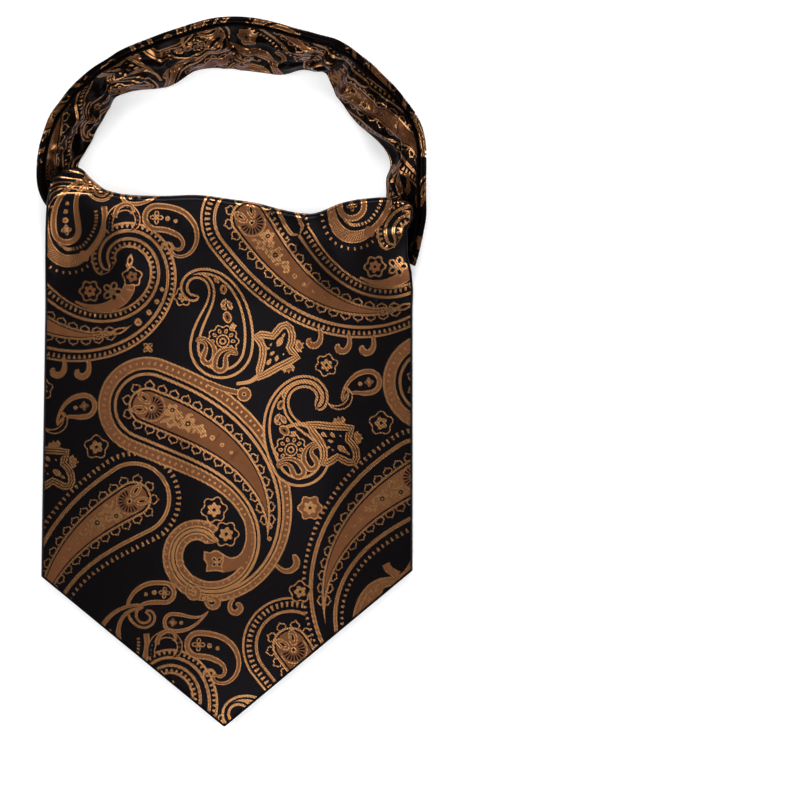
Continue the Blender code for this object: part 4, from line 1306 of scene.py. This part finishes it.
def build_back():
    """The back blade, flat on the table under the front one."""
    outline = inset_polygon(spread_along(BACK_OUTLINE, 3.0, closed=True), BACK_HALF * 1.1)
    halves = on_side(woven(outline, shift=(38.0, 61.0)), BACK_SEAM, -1)
    halves += on_side(woven(outline, turn=180.0, shift=(-21.0, 17.0)), BACK_SEAM, 1)
    halves.append(Figure(GROUND, np.array([(BACK_SEAM + aside, y) for aside, y in SEAM_SLIT])))
    seam = [(BACK_SEAM + aside, y) for aside in (-1.4, -0.7, -0.2, 0.0, 0.2, 0.7, 1.4)
            for y in np.arange(-136.0, 66.0, 2.0)]
    return shell("back_silk", outline, back_surface, BACK_HALF, pitch=3.0, lip=1.6,
                 fine=[seam], figures=halves)


# --- crossing shells ------------------------------------------------------------------------------
def crossing_layer(number):
    """Surface and half thickness of one of the folded layers under the front blade."""
    def heights(points):
        normal = normals_of(blade_upper, points)
        under = blade_upper(points) - normal * (BLADE_THICK + GAP)
        floor = BACK_TOP + GAP
        return under, np.maximum(under[:, 2] - floor, CROSS_THINNEST), floor

    def surface(points):
        under, height, floor = heights(points)
        middle = under.copy()
        middle[:, 2] = floor + height * (number + 0.5) / CROSS_LAYERS
        normal = np.tile([0.0, 0.0, 1.0], (len(points), 1))
        return middle, normal

    def half(points):
        return (heights(points)[1] / CROSS_LAYERS * 0.46)[:, None]

    return surface, half


def crossing_outline(number):
    """Outline of one layer's flat cut, from its left lower corner."""
    stations = np.arange(CROSS_LEFT + 1.0 + number % 2, CROSS_RIGHT - 1.0 - 1.5 * (number % 3), 2.5)
    column = columns_at(stations)
    nearest = np.full(len(stations), CROSS_START + 1.0 + 1.2 * number)
    band_end = LOOP[1] + (stations - LOOP[0]) * math.tan(math.radians(BACK_TO))
    behind = column["y"] - band_end + CROSS_AWAY
    nearest = np.where(stations < CROSS_BEHIND, np.maximum(nearest, behind), nearest)
    farthest = ROLL_RADIUS + column["reach"] * (CROSS_REACH - 0.06 * ((number * 2) % 3))
    lower = np.stack([stations, column["y"] - farthest], axis=1)
    upper = np.stack([stations, column["y"] - nearest], axis=1)[::-1]
    return spread_along(np.concatenate([lower, upper]), 3.0, closed=True)


def build_crossing():
    """The folded layers that cross under the front blade, one lying on another."""
    layers = []
    for number in range(CROSS_LAYERS):
        surface, half = crossing_layer(number)
        layers.append(shell(f"crossing_layer_{number}", crossing_outline(number), surface, half,
                            pitch=5.0, lip=0.8))
    return joined("crossing_silk", layers)


def joined(name, pieces):
    """Several meshes as one piece."""
    shape = bmesh.new()
    for piece in pieces:
        shape.from_mesh(piece.data)
        bpy.data.objects.remove(piece, do_unlink=True)
    mesh = bpy.data.meshes.new(name)
    shape.to_mesh(mesh)
    shape.free()
    whole = bpy.data.objects.new(name, mesh)
    bpy.context.scene.collection.objects.link(whole)
    return whole


# --- neckband shells ------------------------------------------------------------------------------
def face_surface(points):
    """Middle of the gathered face and its way out, over its flat cut: along the band, and up from its hem."""
    def places(flat):
        along, up = flat.T
        turn = FACE_TO - along / FACE_LENGTH * (FACE_TO - FACE_FROM)
        share = np.maximum(up / FACE_HEIGHT, 0.0)
        sections = Sections(turn)
        lift = buckle_lift(turn, share)
        r, z = sections.core(share, LAYER_GAP / 2 + LAYER_THICK / 2 * sections.size + lift, FACE_BULGE)
        under = np.clip(-up / HEM_LENGTH, 0.0, 1.3)
        hem_z = HEM_MIDDLE[1] + HEM_LIFT * buckle_lift(turn, 0.0 * turn)
        r, z = r + (HEM_MIDDLE[0] - r) * under, z + (hem_z - z) * under
        return sections.place(r, z)

    normal = normals_of(places, points)
    return places(points) + normal * fold_lift(FACE_FOLDS, points)[:, None], normal


def build_face():
    """The gathered face of the neckband, on the inside of the loop."""
    corners = ((0.0, -HEM_LENGTH), (FACE_LENGTH, -HEM_LENGTH), (FACE_LENGTH, FACE_HEIGHT), (0.0, FACE_HEIGHT))
    outline = inset_polygon(spread_along(corners, 1.5, closed=True), 0.4)
    return shell("face_silk", outline, face_surface, FACE_HALF, pitch=0.9, lip=1.0,
                 figures=woven(outline, (0.92, 0.78), 78.0, (58.0, 6.0)))


def back_path(sections, station):
    """Section of the outside layer at stations of its path: up its outside, over its ledges and its rim."""
    step, size = PLEAT_STEP * sections.size, sections.size
    off = -LAYER_GAP / 2 - LAYER_THICK * (1 + size) / 4
    controls = [sections.core(share, off - step * raised) for share, raised in PLEATS]
    bead = RIM_WIDTH / 2 * size - BACK_BAND_HALF
    radius = RIM_WIDTH / 2 * size
    for turn in RIM_TURNS:
        radians = math.radians(turn)
        controls.append((sections.width - radius + bead * math.cos(radians),
                         sections.rise - radius + bead * math.sin(radians)))
    r, z = (np.stack([control[k] for control in controls]) for k in (0, 1))
    z = np.maximum(z, BACK_BAND_HALF + 0.02)
    place = np.clip(station, 0.0, PATH_STATIONS[-1] - 1e-6)
    index = np.clip(np.searchsorted(PATH_STATIONS, place, "right") - 1, 0, len(PATH_STATIONS) - 2)
    share = (place - PATH_STATIONS[index]) / (PATH_STATIONS[index + 1] - PATH_STATIONS[index])
    column = np.arange(len(place))
    r = r[index, column] * (1 - share) + r[index + 1, column] * share
    z = z[index, column] * (1 - share) + z[index + 1, column] * share
    return r, z


def band_surface(points):
    """Middle of the neckband's outside layer and its way out, over its flat cut."""
    def places(flat):
        along, up = flat.T
        turn = BACK_FROM + along / BACK_LENGTH * (BACK_TO - BACK_FROM)
        sections = Sections(turn)
        beyond = np.where(up < 0, up, np.maximum(up - PATH_STATIONS[-1], 0.0))
        r, z = back_path(sections, up)
        r_2, z_2 = back_path(sections, up - np.sign(beyond) * 0.2)
        r, z = r + (r - r_2) * np.abs(beyond) / 0.2, z + (z - z_2) * np.abs(beyond) / 0.2
        return sections.place(r, z)

    return places(points), normals_of(places, points)


def build_band():
    """The outside layer of the neckband, pleated lengthwise, with its rolled rim."""
    height = PATH_STATIONS[-1]
    corners = ((0.0, 0.0), (BACK_LENGTH, 0.0), (BACK_LENGTH, height), (0.0, height))
    outline = inset_polygon(spread_along(corners, 1.5, closed=True), 0.5)
    rows = [(x, y) for y in LEDGE_ROWS for x in np.arange(1.0, BACK_LENGTH, 1.5)]
    rows += [(x, y) for y in np.arange(PATH_STATIONS[len(PLEATS) - 1], height - 0.6, RIM_ROWS)
             for x in np.arange(1.0, BACK_LENGTH - 0.8, 1.5)]
    return shell("band_silk", outline, band_surface, BACK_BAND_HALF, pitch=1.5, lip=1.0, fine=[rows],
                 figures=woven(outline, (1.0, 0.7), 82.0, (12.0, -4.0)))


# --- silk -----------------------------------------------------------------------------------------
# the neckband's ground is painted darker than the blade's, as shade
GROUNDS = {"blade_silk": (0.0028, 0.0021, 0.0025, 1.0), "neckband_silk": (0.0017, 0.0009, 0.0008, 1.0)}
# painted shade darkens the neckband's yarns: how bright they are, and how much they shine
PAINTED_SHADE_AND_SHINE = {"blade_silk": (1.0, 0.07), "neckband_silk": (0.44, 0.02)}
BROWN_SILK, GOLD_SILK = (0.16, 0.062, 0.025), (0.47, 0.222, 0.088)
# how each yarn looks: metallic share, roughness, darkest and lightest of its weave, and how uneven it is dyed
# the darkest of a weave lies in its hollows: partly the yarns' own interlacing, partly painted shade
Yarn = namedtuple("Yarn", "gloss roughness dark light uneven")
YARNS = (Yarn(0.0, 0.25, 0.55, 1.45, 0.2), Yarn(0.55, 0.3, 0.5, 1.5, 0.2), Yarn(0.93, 0.23, 0.62, 1.15, 0.15))
GROUND_RELIEF = 0.4        # height of the ground's grid, as a share of the other yarns'
WARP = 0.95                # spacing of the grid in the dark ground, mm
ROPE = 1.2                 # spacing of the slanting floats in a gold line, mm
RIB = 0.8                  # spacing of the twill in a brown field, mm
DYE_SCALE = 0.35           # waves of uneven dye in a millimetre
SPECULAR_TINT = (0.97, 0.88, 1.0, 1.0)
BUMP_STRENGTH, BUMP_DEPTH = 0.08, 0.0001        # how much of the weave's relief shows, and its metres


class Graph:
    """A node tree with short ways to add a node and join its sockets."""

    def __init__(self, tree):
        self.tree = tree

    def put(self, kind, inputs=(), **settings):
        """A node with its settings; each input is a socket or a value, None for none."""
        node = self.tree.nodes.new(kind)
        for name, value in settings.items():
            setattr(node, name, value)
        for index, value in enumerate(inputs):
            if value is not None:
                self.join(value, node.inputs[index])
        return node

    def join(self, value, socket):
        """Links a socket, or sets a value."""
        if isinstance(value, bpy.types.NodeSocket):
            self.tree.links.new(value, socket)
        else:
            socket.default_value = value

    def math(self, operation, *inputs):
        """The result of a sum."""
        return self.put("ShaderNodeMath", inputs, operation=operation).outputs[0]

    def vary(self, value, low, high):
        """A value of -1 to 1 as one between low and high."""
        return self.math("MULTIPLY_ADD", value, (high - low) / 2, (high + low) / 2)

    def blend(self, share, first, second):
        """A colour that is the first at 0 and the second at 1."""
        node = self.put("ShaderNodeMix", data_type="RGBA")
        for index, value in ((0, share), (6, first), (7, second)):
            self.join(value, node.inputs[index])
        return node.outputs[2]

    def either(self, share, first, second):
        """A value that is the first at 0 and the second at 1."""
        return self.put("ShaderNodeMix", (share, None, first, second), data_type="FLOAT").outputs[0]

    def tint(self, colour, value):
        """A colour times a value."""
        node = self.put("ShaderNodeVectorMath", operation="SCALE")
        self.join(colour, node.inputs[0])
        self.join(value, node.inputs["Scale"])
        return node.outputs[0]


def new_group(name, inputs, outputs):
    """An empty node group with named sockets, and the nodes that stand for them."""
    tree = bpy.data.node_groups.new(name, "ShaderNodeTree")
    for in_out, sockets in (("INPUT", inputs), ("OUTPUT", outputs)):
        for label, kind in sockets:
            tree.interface.new_socket(label, in_out=in_out, socket_type=f"NodeSocket{kind}")
    graph = Graph(tree)
    return graph, graph.put("NodeGroupInput"), graph.put("NodeGroupOutput")


def stripes(graph, along, spacing):
    """A wave from -1 to 1 along a length in mm."""
    return graph.math("SINE", graph.math("MULTIPLY", along, 2 * math.pi / spacing))


def weave_group():
    """Colour, gloss, roughness and height of the cloth from the place and the yarn on top."""
    graph, given, result = new_group(
        "Silk weave",
        (("Place", "Vector"), ("Yarn", "Float"), ("Ground", "Color"), ("Brown", "Color"), ("Gold", "Color")),
        (("Colour", "Color"), ("Gloss", "Float"), ("Roughness", "Float"), ("Height", "Float")),
    )
    place = graph.put("ShaderNodeSeparateXYZ", [given.outputs["Place"]]).outputs
    across, up = place[0], place[1]
    slant = graph.math("ADD", across, graph.math("MULTIPLY", up, 0.8))
    grid = graph.math("MULTIPLY", stripes(graph, across, WARP), stripes(graph, up, WARP))
    rope = stripes(graph, slant, ROPE)
    rib = stripes(graph, graph.math("SUBTRACT", across, graph.math("MULTIPLY", up, 1.3)), RIB)
    noise = graph.put("ShaderNodeTexNoise", [given.outputs["Place"]], noise_dimensions="3D")
    noise.inputs["Scale"].default_value = DYE_SCALE
    noise.inputs["Detail"].default_value = 3.0
    uneven = graph.math("MULTIPLY_ADD", noise.outputs[0], 2.0, -1.0)
    brown_on = graph.math("GREATER_THAN", given.outputs["Yarn"], 0.5)
    gold_on = graph.math("GREATER_THAN", given.outputs["Yarn"], 1.5)

    def of_yarns(join, ground_part, brown_part, gold_part):
        """The part of the yarn that lies on top."""
        return join(gold_on, join(brown_on, ground_part, brown_part), gold_part)

    def shade_of(wave, yarn):
        """How bright a yarn is at a place: its own weave, darker in its hollows partly as painted shade,
        unevenly dyed.
        """
        return graph.math("MULTIPLY", graph.vary(wave, yarn.dark, yarn.light),
                          graph.vary(uneven, 1 - yarn.uneven, 1 + yarn.uneven))

    colours = [graph.tint(given.outputs[label], shade_of(wave, yarn))
               for label, wave, yarn in zip(("Ground", "Brown", "Gold"), (grid, rib, rope), YARNS)]
    heights = graph.vary(grid, -GROUND_RELIEF, GROUND_RELIEF), rib, rope
    for label, join, parts in (("Colour", graph.blend, colours),
                               ("Gloss", graph.either, [yarn.gloss for yarn in YARNS]),
                               ("Roughness", graph.either, [yarn.roughness for yarn in YARNS]),
                               ("Height", graph.either, heights)):
        graph.join(of_yarns(join, *parts), result.inputs[label])
    return graph.tree


def silk(name, weave, ground, painted_shade, shine):
    """Woven silk: a near-black satin ground with brown and gold figures, their colours darkened by a painted
    shade.
    """
    material = bpy.data.materials.new(name)
    material.use_nodes = True
    graph = Graph(material.node_tree)
    shader = material.node_tree.nodes["Principled BSDF"]
    cut = graph.put("ShaderNodeAttribute", attribute_name="cut")
    yarn = graph.put("ShaderNodeAttribute", attribute_name="yarn")
    cloth = graph.put("ShaderNodeGroup", node_tree=weave)
    # brown and gold are darkened by the slot's painted shade
    brown, gold = ([part * painted_shade for part in colour] + [1.0] for colour in (BROWN_SILK, GOLD_SILK))
    for label, value in (("Place", cut.outputs["Vector"]), ("Yarn", yarn.outputs["Fac"]), ("Ground", ground),
                         ("Brown", brown), ("Gold", gold)):
        graph.join(value, cloth.inputs[label])
    bump = graph.put("ShaderNodeBump")
    bump.inputs["Strength"].default_value = BUMP_STRENGTH
    bump.inputs["Distance"].default_value = BUMP_DEPTH
    graph.join(cloth.outputs["Height"], bump.inputs["Height"])
    for label, socket in (("Colour", "Base Color"), ("Gloss", "Metallic"), ("Roughness", "Roughness")):
        graph.join(cloth.outputs[label], shader.inputs[socket])
    graph.join(bump.outputs[0], shader.inputs["Normal"])
    shader.inputs["Specular IOR Level"].default_value = shine
    shader.inputs["Specular Tint"].default_value = SPECULAR_TINT
    return material


# --- stitches -------------------------------------------------------------------------------------
STITCH = {"Step": 6.0, "Length": 2.2, "Thread": 0.17, "Slant": 0.55}      # mm, and radians off the line
SEAM_LIFT = 0.22           # height of the stitches in the back seam
HEM_STITCH = (1.75, 0.5)   # where the hem's stitches lie, outwards from the hem line and up
PLY = 0.24                 # spacing of the thread's twist
# painted shade: the sewing silk is darker between its plies than on them
THREAD_COLOUR_AND_PLY_SHADE = (0.012, 0.008, 0.007, 1.0), (0.045, 0.028, 0.02, 1.0)      # between its plies and on them


def stitch_tree():
    """Slip stitches: short slanting threads at even steps along a line."""
    tree = bpy.data.node_groups.new("Slip stitches", "GeometryNodeTree")
    tree.interface.new_socket("Line", in_out="INPUT", socket_type="NodeSocketGeometry")
    for label in STITCH:
        tree.interface.new_socket(label, in_out="INPUT", socket_type="NodeSocketFloat")
    tree.interface.new_socket("Silk", in_out="INPUT", socket_type="NodeSocketMaterial")
    tree.interface.new_socket("Stitches", in_out="OUTPUT", socket_type="NodeSocketGeometry")
    graph = Graph(tree)
    given = graph.put("NodeGroupInput").outputs
    curve = graph.put("GeometryNodeMeshToCurve", [given["Line"]]).outputs[0]
    steps = graph.put("GeometryNodeResampleCurve", mode="LENGTH")
    graph.join(curve, steps.inputs["Curve"])
    graph.join(given["Step"], steps.inputs["Length"])
    bead = graph.put("GeometryNodeMeshUVSphere", (8, 8, 1.0)).outputs["Mesh"]
    size = graph.put("ShaderNodeCombineXYZ", (given["Thread"], given["Thread"],
                                              graph.math("MULTIPLY", given["Length"], 0.5))).outputs[0]
    thread = graph.put("GeometryNodeTransform")
    graph.join(bead, thread.inputs["Geometry"])
    graph.join(size, thread.inputs["Scale"])
    lean = graph.put("ShaderNodeVectorRotate", rotation_type="Z_AXIS")
    graph.join(graph.put("GeometryNodeInputTangent").outputs[0], lean.inputs["Vector"])
    graph.join(given["Slant"], lean.inputs["Angle"])
    turn = graph.put("FunctionNodeAlignRotationToVector", axis="Z")
    graph.join(lean.outputs[0], turn.inputs["Vector"])
    places = graph.put("GeometryNodeInstanceOnPoints")
    for node, label in ((steps, "Points"), (thread, "Instance"), (turn, "Rotation")):
        graph.join(node.outputs[0], places.inputs[label])
    whole = graph.put("GeometryNodeRealizeInstances", [places.outputs[0]]).outputs[0]
    dressed = graph.put("GeometryNodeSetMaterial")
    graph.join(whole, dressed.inputs["Geometry"])
    graph.join(given["Silk"], dressed.inputs["Material"])
    graph.put("NodeGroupOutput", [dressed.outputs[0]])
    return tree


def thread_silk():
    """Dark sewing silk with the slant of its plies, painted darker between them as shade."""
    material = bpy.data.materials.new("sewing_silk")
    material.use_nodes = True
    graph = Graph(material.node_tree)
    shader = material.node_tree.nodes["Principled BSDF"]
    place = graph.put("ShaderNodeTexCoord").outputs["Object"]
    place = graph.put("ShaderNodeSeparateXYZ", [graph.tint(place, 1000.0)]).outputs
    plies = stripes(graph, graph.math("ADD", place[1], graph.math("MULTIPLY", place[0], 1.4)), PLY)
    graph.join(graph.blend(graph.vary(plies, 0.0, 1.0), *THREAD_COLOUR_AND_PLY_SHADE), shader.inputs["Base Color"])
    graph.join(graph.vary(plies, 0.5, 0.32), shader.inputs["Roughness"])
    return material


def build_stitches():
    """Slip stitches that close the back seam and hold the neckband's hem."""
    seam = np.array([(BACK_SEAM, y, SEAM_LIFT) for y in np.arange(-134.0, 63.0, 3.0)])
    hem = Sections(np.arange(FACE_FROM + 4.0, FACE_TO - 4.0, 2.0))
    hem = hem.place(*(np.full_like(hem.turn, part) for part in HEM_STITCH))
    tree, silk_thread, pieces = stitch_tree(), thread_silk(), []
    for name, row in (("seam_line", seam), ("hem_line", hem)):
        mesh = bpy.data.meshes.new(name)
        mesh.from_pydata([tuple(p) for p in row * MM], [(i, i + 1) for i in range(len(row) - 1)], [])
        line = bpy.data.objects.new(name, mesh)
        bpy.context.scene.collection.objects.link(line)
        nodes = line.modifiers.new("stitches", "NODES")
        nodes.node_group = tree
        for item in tree.interface.items_tree:
            if item.name in STITCH:
                nodes[item.identifier] = STITCH[item.name] * (1.0 if item.name == "Slant" else MM)
            elif item.name == "Silk":
                nodes[item.identifier] = silk_thread
        graph = bpy.context.evaluated_depsgraph_get()
        stitched = bpy.data.meshes.new_from_object(line.evaluated_get(graph))
        line.modifiers.remove(nodes)
        line.data = stitched
        pieces.append(line)
    whole = joined("stitches", pieces)
    whole.data.materials.append(silk_thread)
    return whole


# --- floor, light and camera ----------------------------------------------------------------------
# lengths of the set are in metres, and powers in watts
FLOOR_REACH, FLOOR_WHITE, FLOOR_GLOW = 3.0, 0.96, 0.25      # a lit table, on which shadows stay faint
ROOM, SKY = 0.07, (0.9, 0.94, 1.0, 1.0)     # strength and colour of the room's light
BOX_AWAY, BOX_SIZE = 1.5, (1.2, 0.8)
Box = namedtuple("Box", "name turn height power")
SOFT_BOXES = (Box("west", 180.0, 1.0, 20.0), Box("east", 0.0, 1.0, 18.0), Box("south", -90.0, 0.5, 20.0),
              Box("north", 90.0, 1.15, 24.0))
STRIP_HEIGHT, STRIP_WIDTH = 0.33, 0.045
# a narrow lamp above the flat of the blade, and one that its top slope shows
Strip = namedtuple("Strip", "name x y length power")
STRIPS = (
    Strip("strip", 0.0, 0.062, 0.28, 0.12),
    Strip("slope strip", 0.006, -0.175, 0.09, 0.05),
)


def build_floor():
    """A plain white table."""
    mesh = bpy.data.meshes.new("floor")
    corners = [(FLOOR_REACH * x, FLOOR_REACH * y, 0.0) for x, y in ((-1, -1), (1, -1), (1, 1), (-1, 1))]
    mesh.from_pydata(corners, [], [(0, 1, 2, 3)])
    floor = bpy.data.objects.new("floor", mesh)
    bpy.context.scene.collection.objects.link(floor)
    paper = bpy.data.materials.new("floor_paper")
    paper.use_nodes = True
    shader = paper.node_tree.nodes["Principled BSDF"]
    shader.inputs["Base Color"].default_value = (FLOOR_WHITE, FLOOR_WHITE, FLOOR_WHITE, 1.0)
    shader.inputs["Roughness"].default_value = 0.8
    shader.inputs["Emission Color"].default_value = (1.0, 1.0, 1.0, 1.0)
    shader.inputs["Emission Strength"].default_value = FLOOR_GLOW
    mesh.materials.append(paper)


def area_light(name, place, size, power, target):
    """A soft rectangular lamp that looks at a point."""
    lamp = bpy.data.lights.new(name, "AREA")
    lamp.shape, lamp.size, lamp.size_y, lamp.energy = "RECTANGLE", size[0], size[1], power
    light = bpy.data.objects.new(name, lamp)
    light.location = place
    light.rotation_euler = (Vector(target) - Vector(place)).to_track_quat("-Z", "Y").to_euler()
    light.visible_camera = False
    bpy.context.scene.collection.objects.link(light)


def build_camera():
    """A long lens straight above the table."""
    lens = bpy.data.cameras.new("camera")
    lens.type, lens.sensor_width = "PERSP", 36.0
    lens.lens = lens.sensor_width * (CAMERA_HEIGHT - SCALE_HEIGHT) / VIEW_WIDTH
    lens.clip_end = 20.0
    camera = bpy.data.objects.new("camera", lens)
    camera.location = (VIEW_CENTRE[0] * MM, VIEW_CENTRE[1] * MM, CAMERA_HEIGHT * MM)
    bpy.context.scene.collection.objects.link(camera)
    bpy.context.scene.camera = camera


def build_light():
    """Soft studio light: a dim room, soft boxes low round the table and narrow lamps above the cravat."""
    world = bpy.data.worlds.new("room")
    world.use_nodes = True
    world.node_tree.nodes["Background"].inputs["Color"].default_value = SKY
    world.node_tree.nodes["Background"].inputs["Strength"].default_value = ROOM
    bpy.context.scene.world = world
    for box in SOFT_BOXES:
        x, y = BOX_AWAY * direction(box.turn)
        area_light(box.name, (x, y, box.height), BOX_SIZE, box.power, (0.0, 0.0, 0.0))
    for strip in STRIPS:
        area_light(strip.name, (strip.x, strip.y, STRIP_HEIGHT), (STRIP_WIDTH, strip.length), strip.power,
                   (strip.x, strip.y, 0.0))
    bpy.context.scene.view_settings.view_transform = "Standard"


def main():
    """The set, and each piece with its silk, on its body and in place of its node."""
    weave = weave_group()
    build_camera()
    build_light()
    build_floor()
    makers = (
        ("front_blade", build_front, "blade_silk"),
        ("back_blade", build_back, "blade_silk"),
        ("crossing", build_crossing, "blade_silk"),
        ("neckband_face", build_face, "neckband_silk"),
        ("neckband_back", build_band, "neckband_silk"),
    )
    for node, maker, slot in makers:
        piece = maker()
        piece.data.materials.append(silk(f"{node}_silk", weave, GROUNDS[slot], *PAINTED_SHADE_AND_SHINE[slot]))
        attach(piece, "root")
        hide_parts(node)
    stitches = build_stitches()
    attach(stitches, "root")


main()
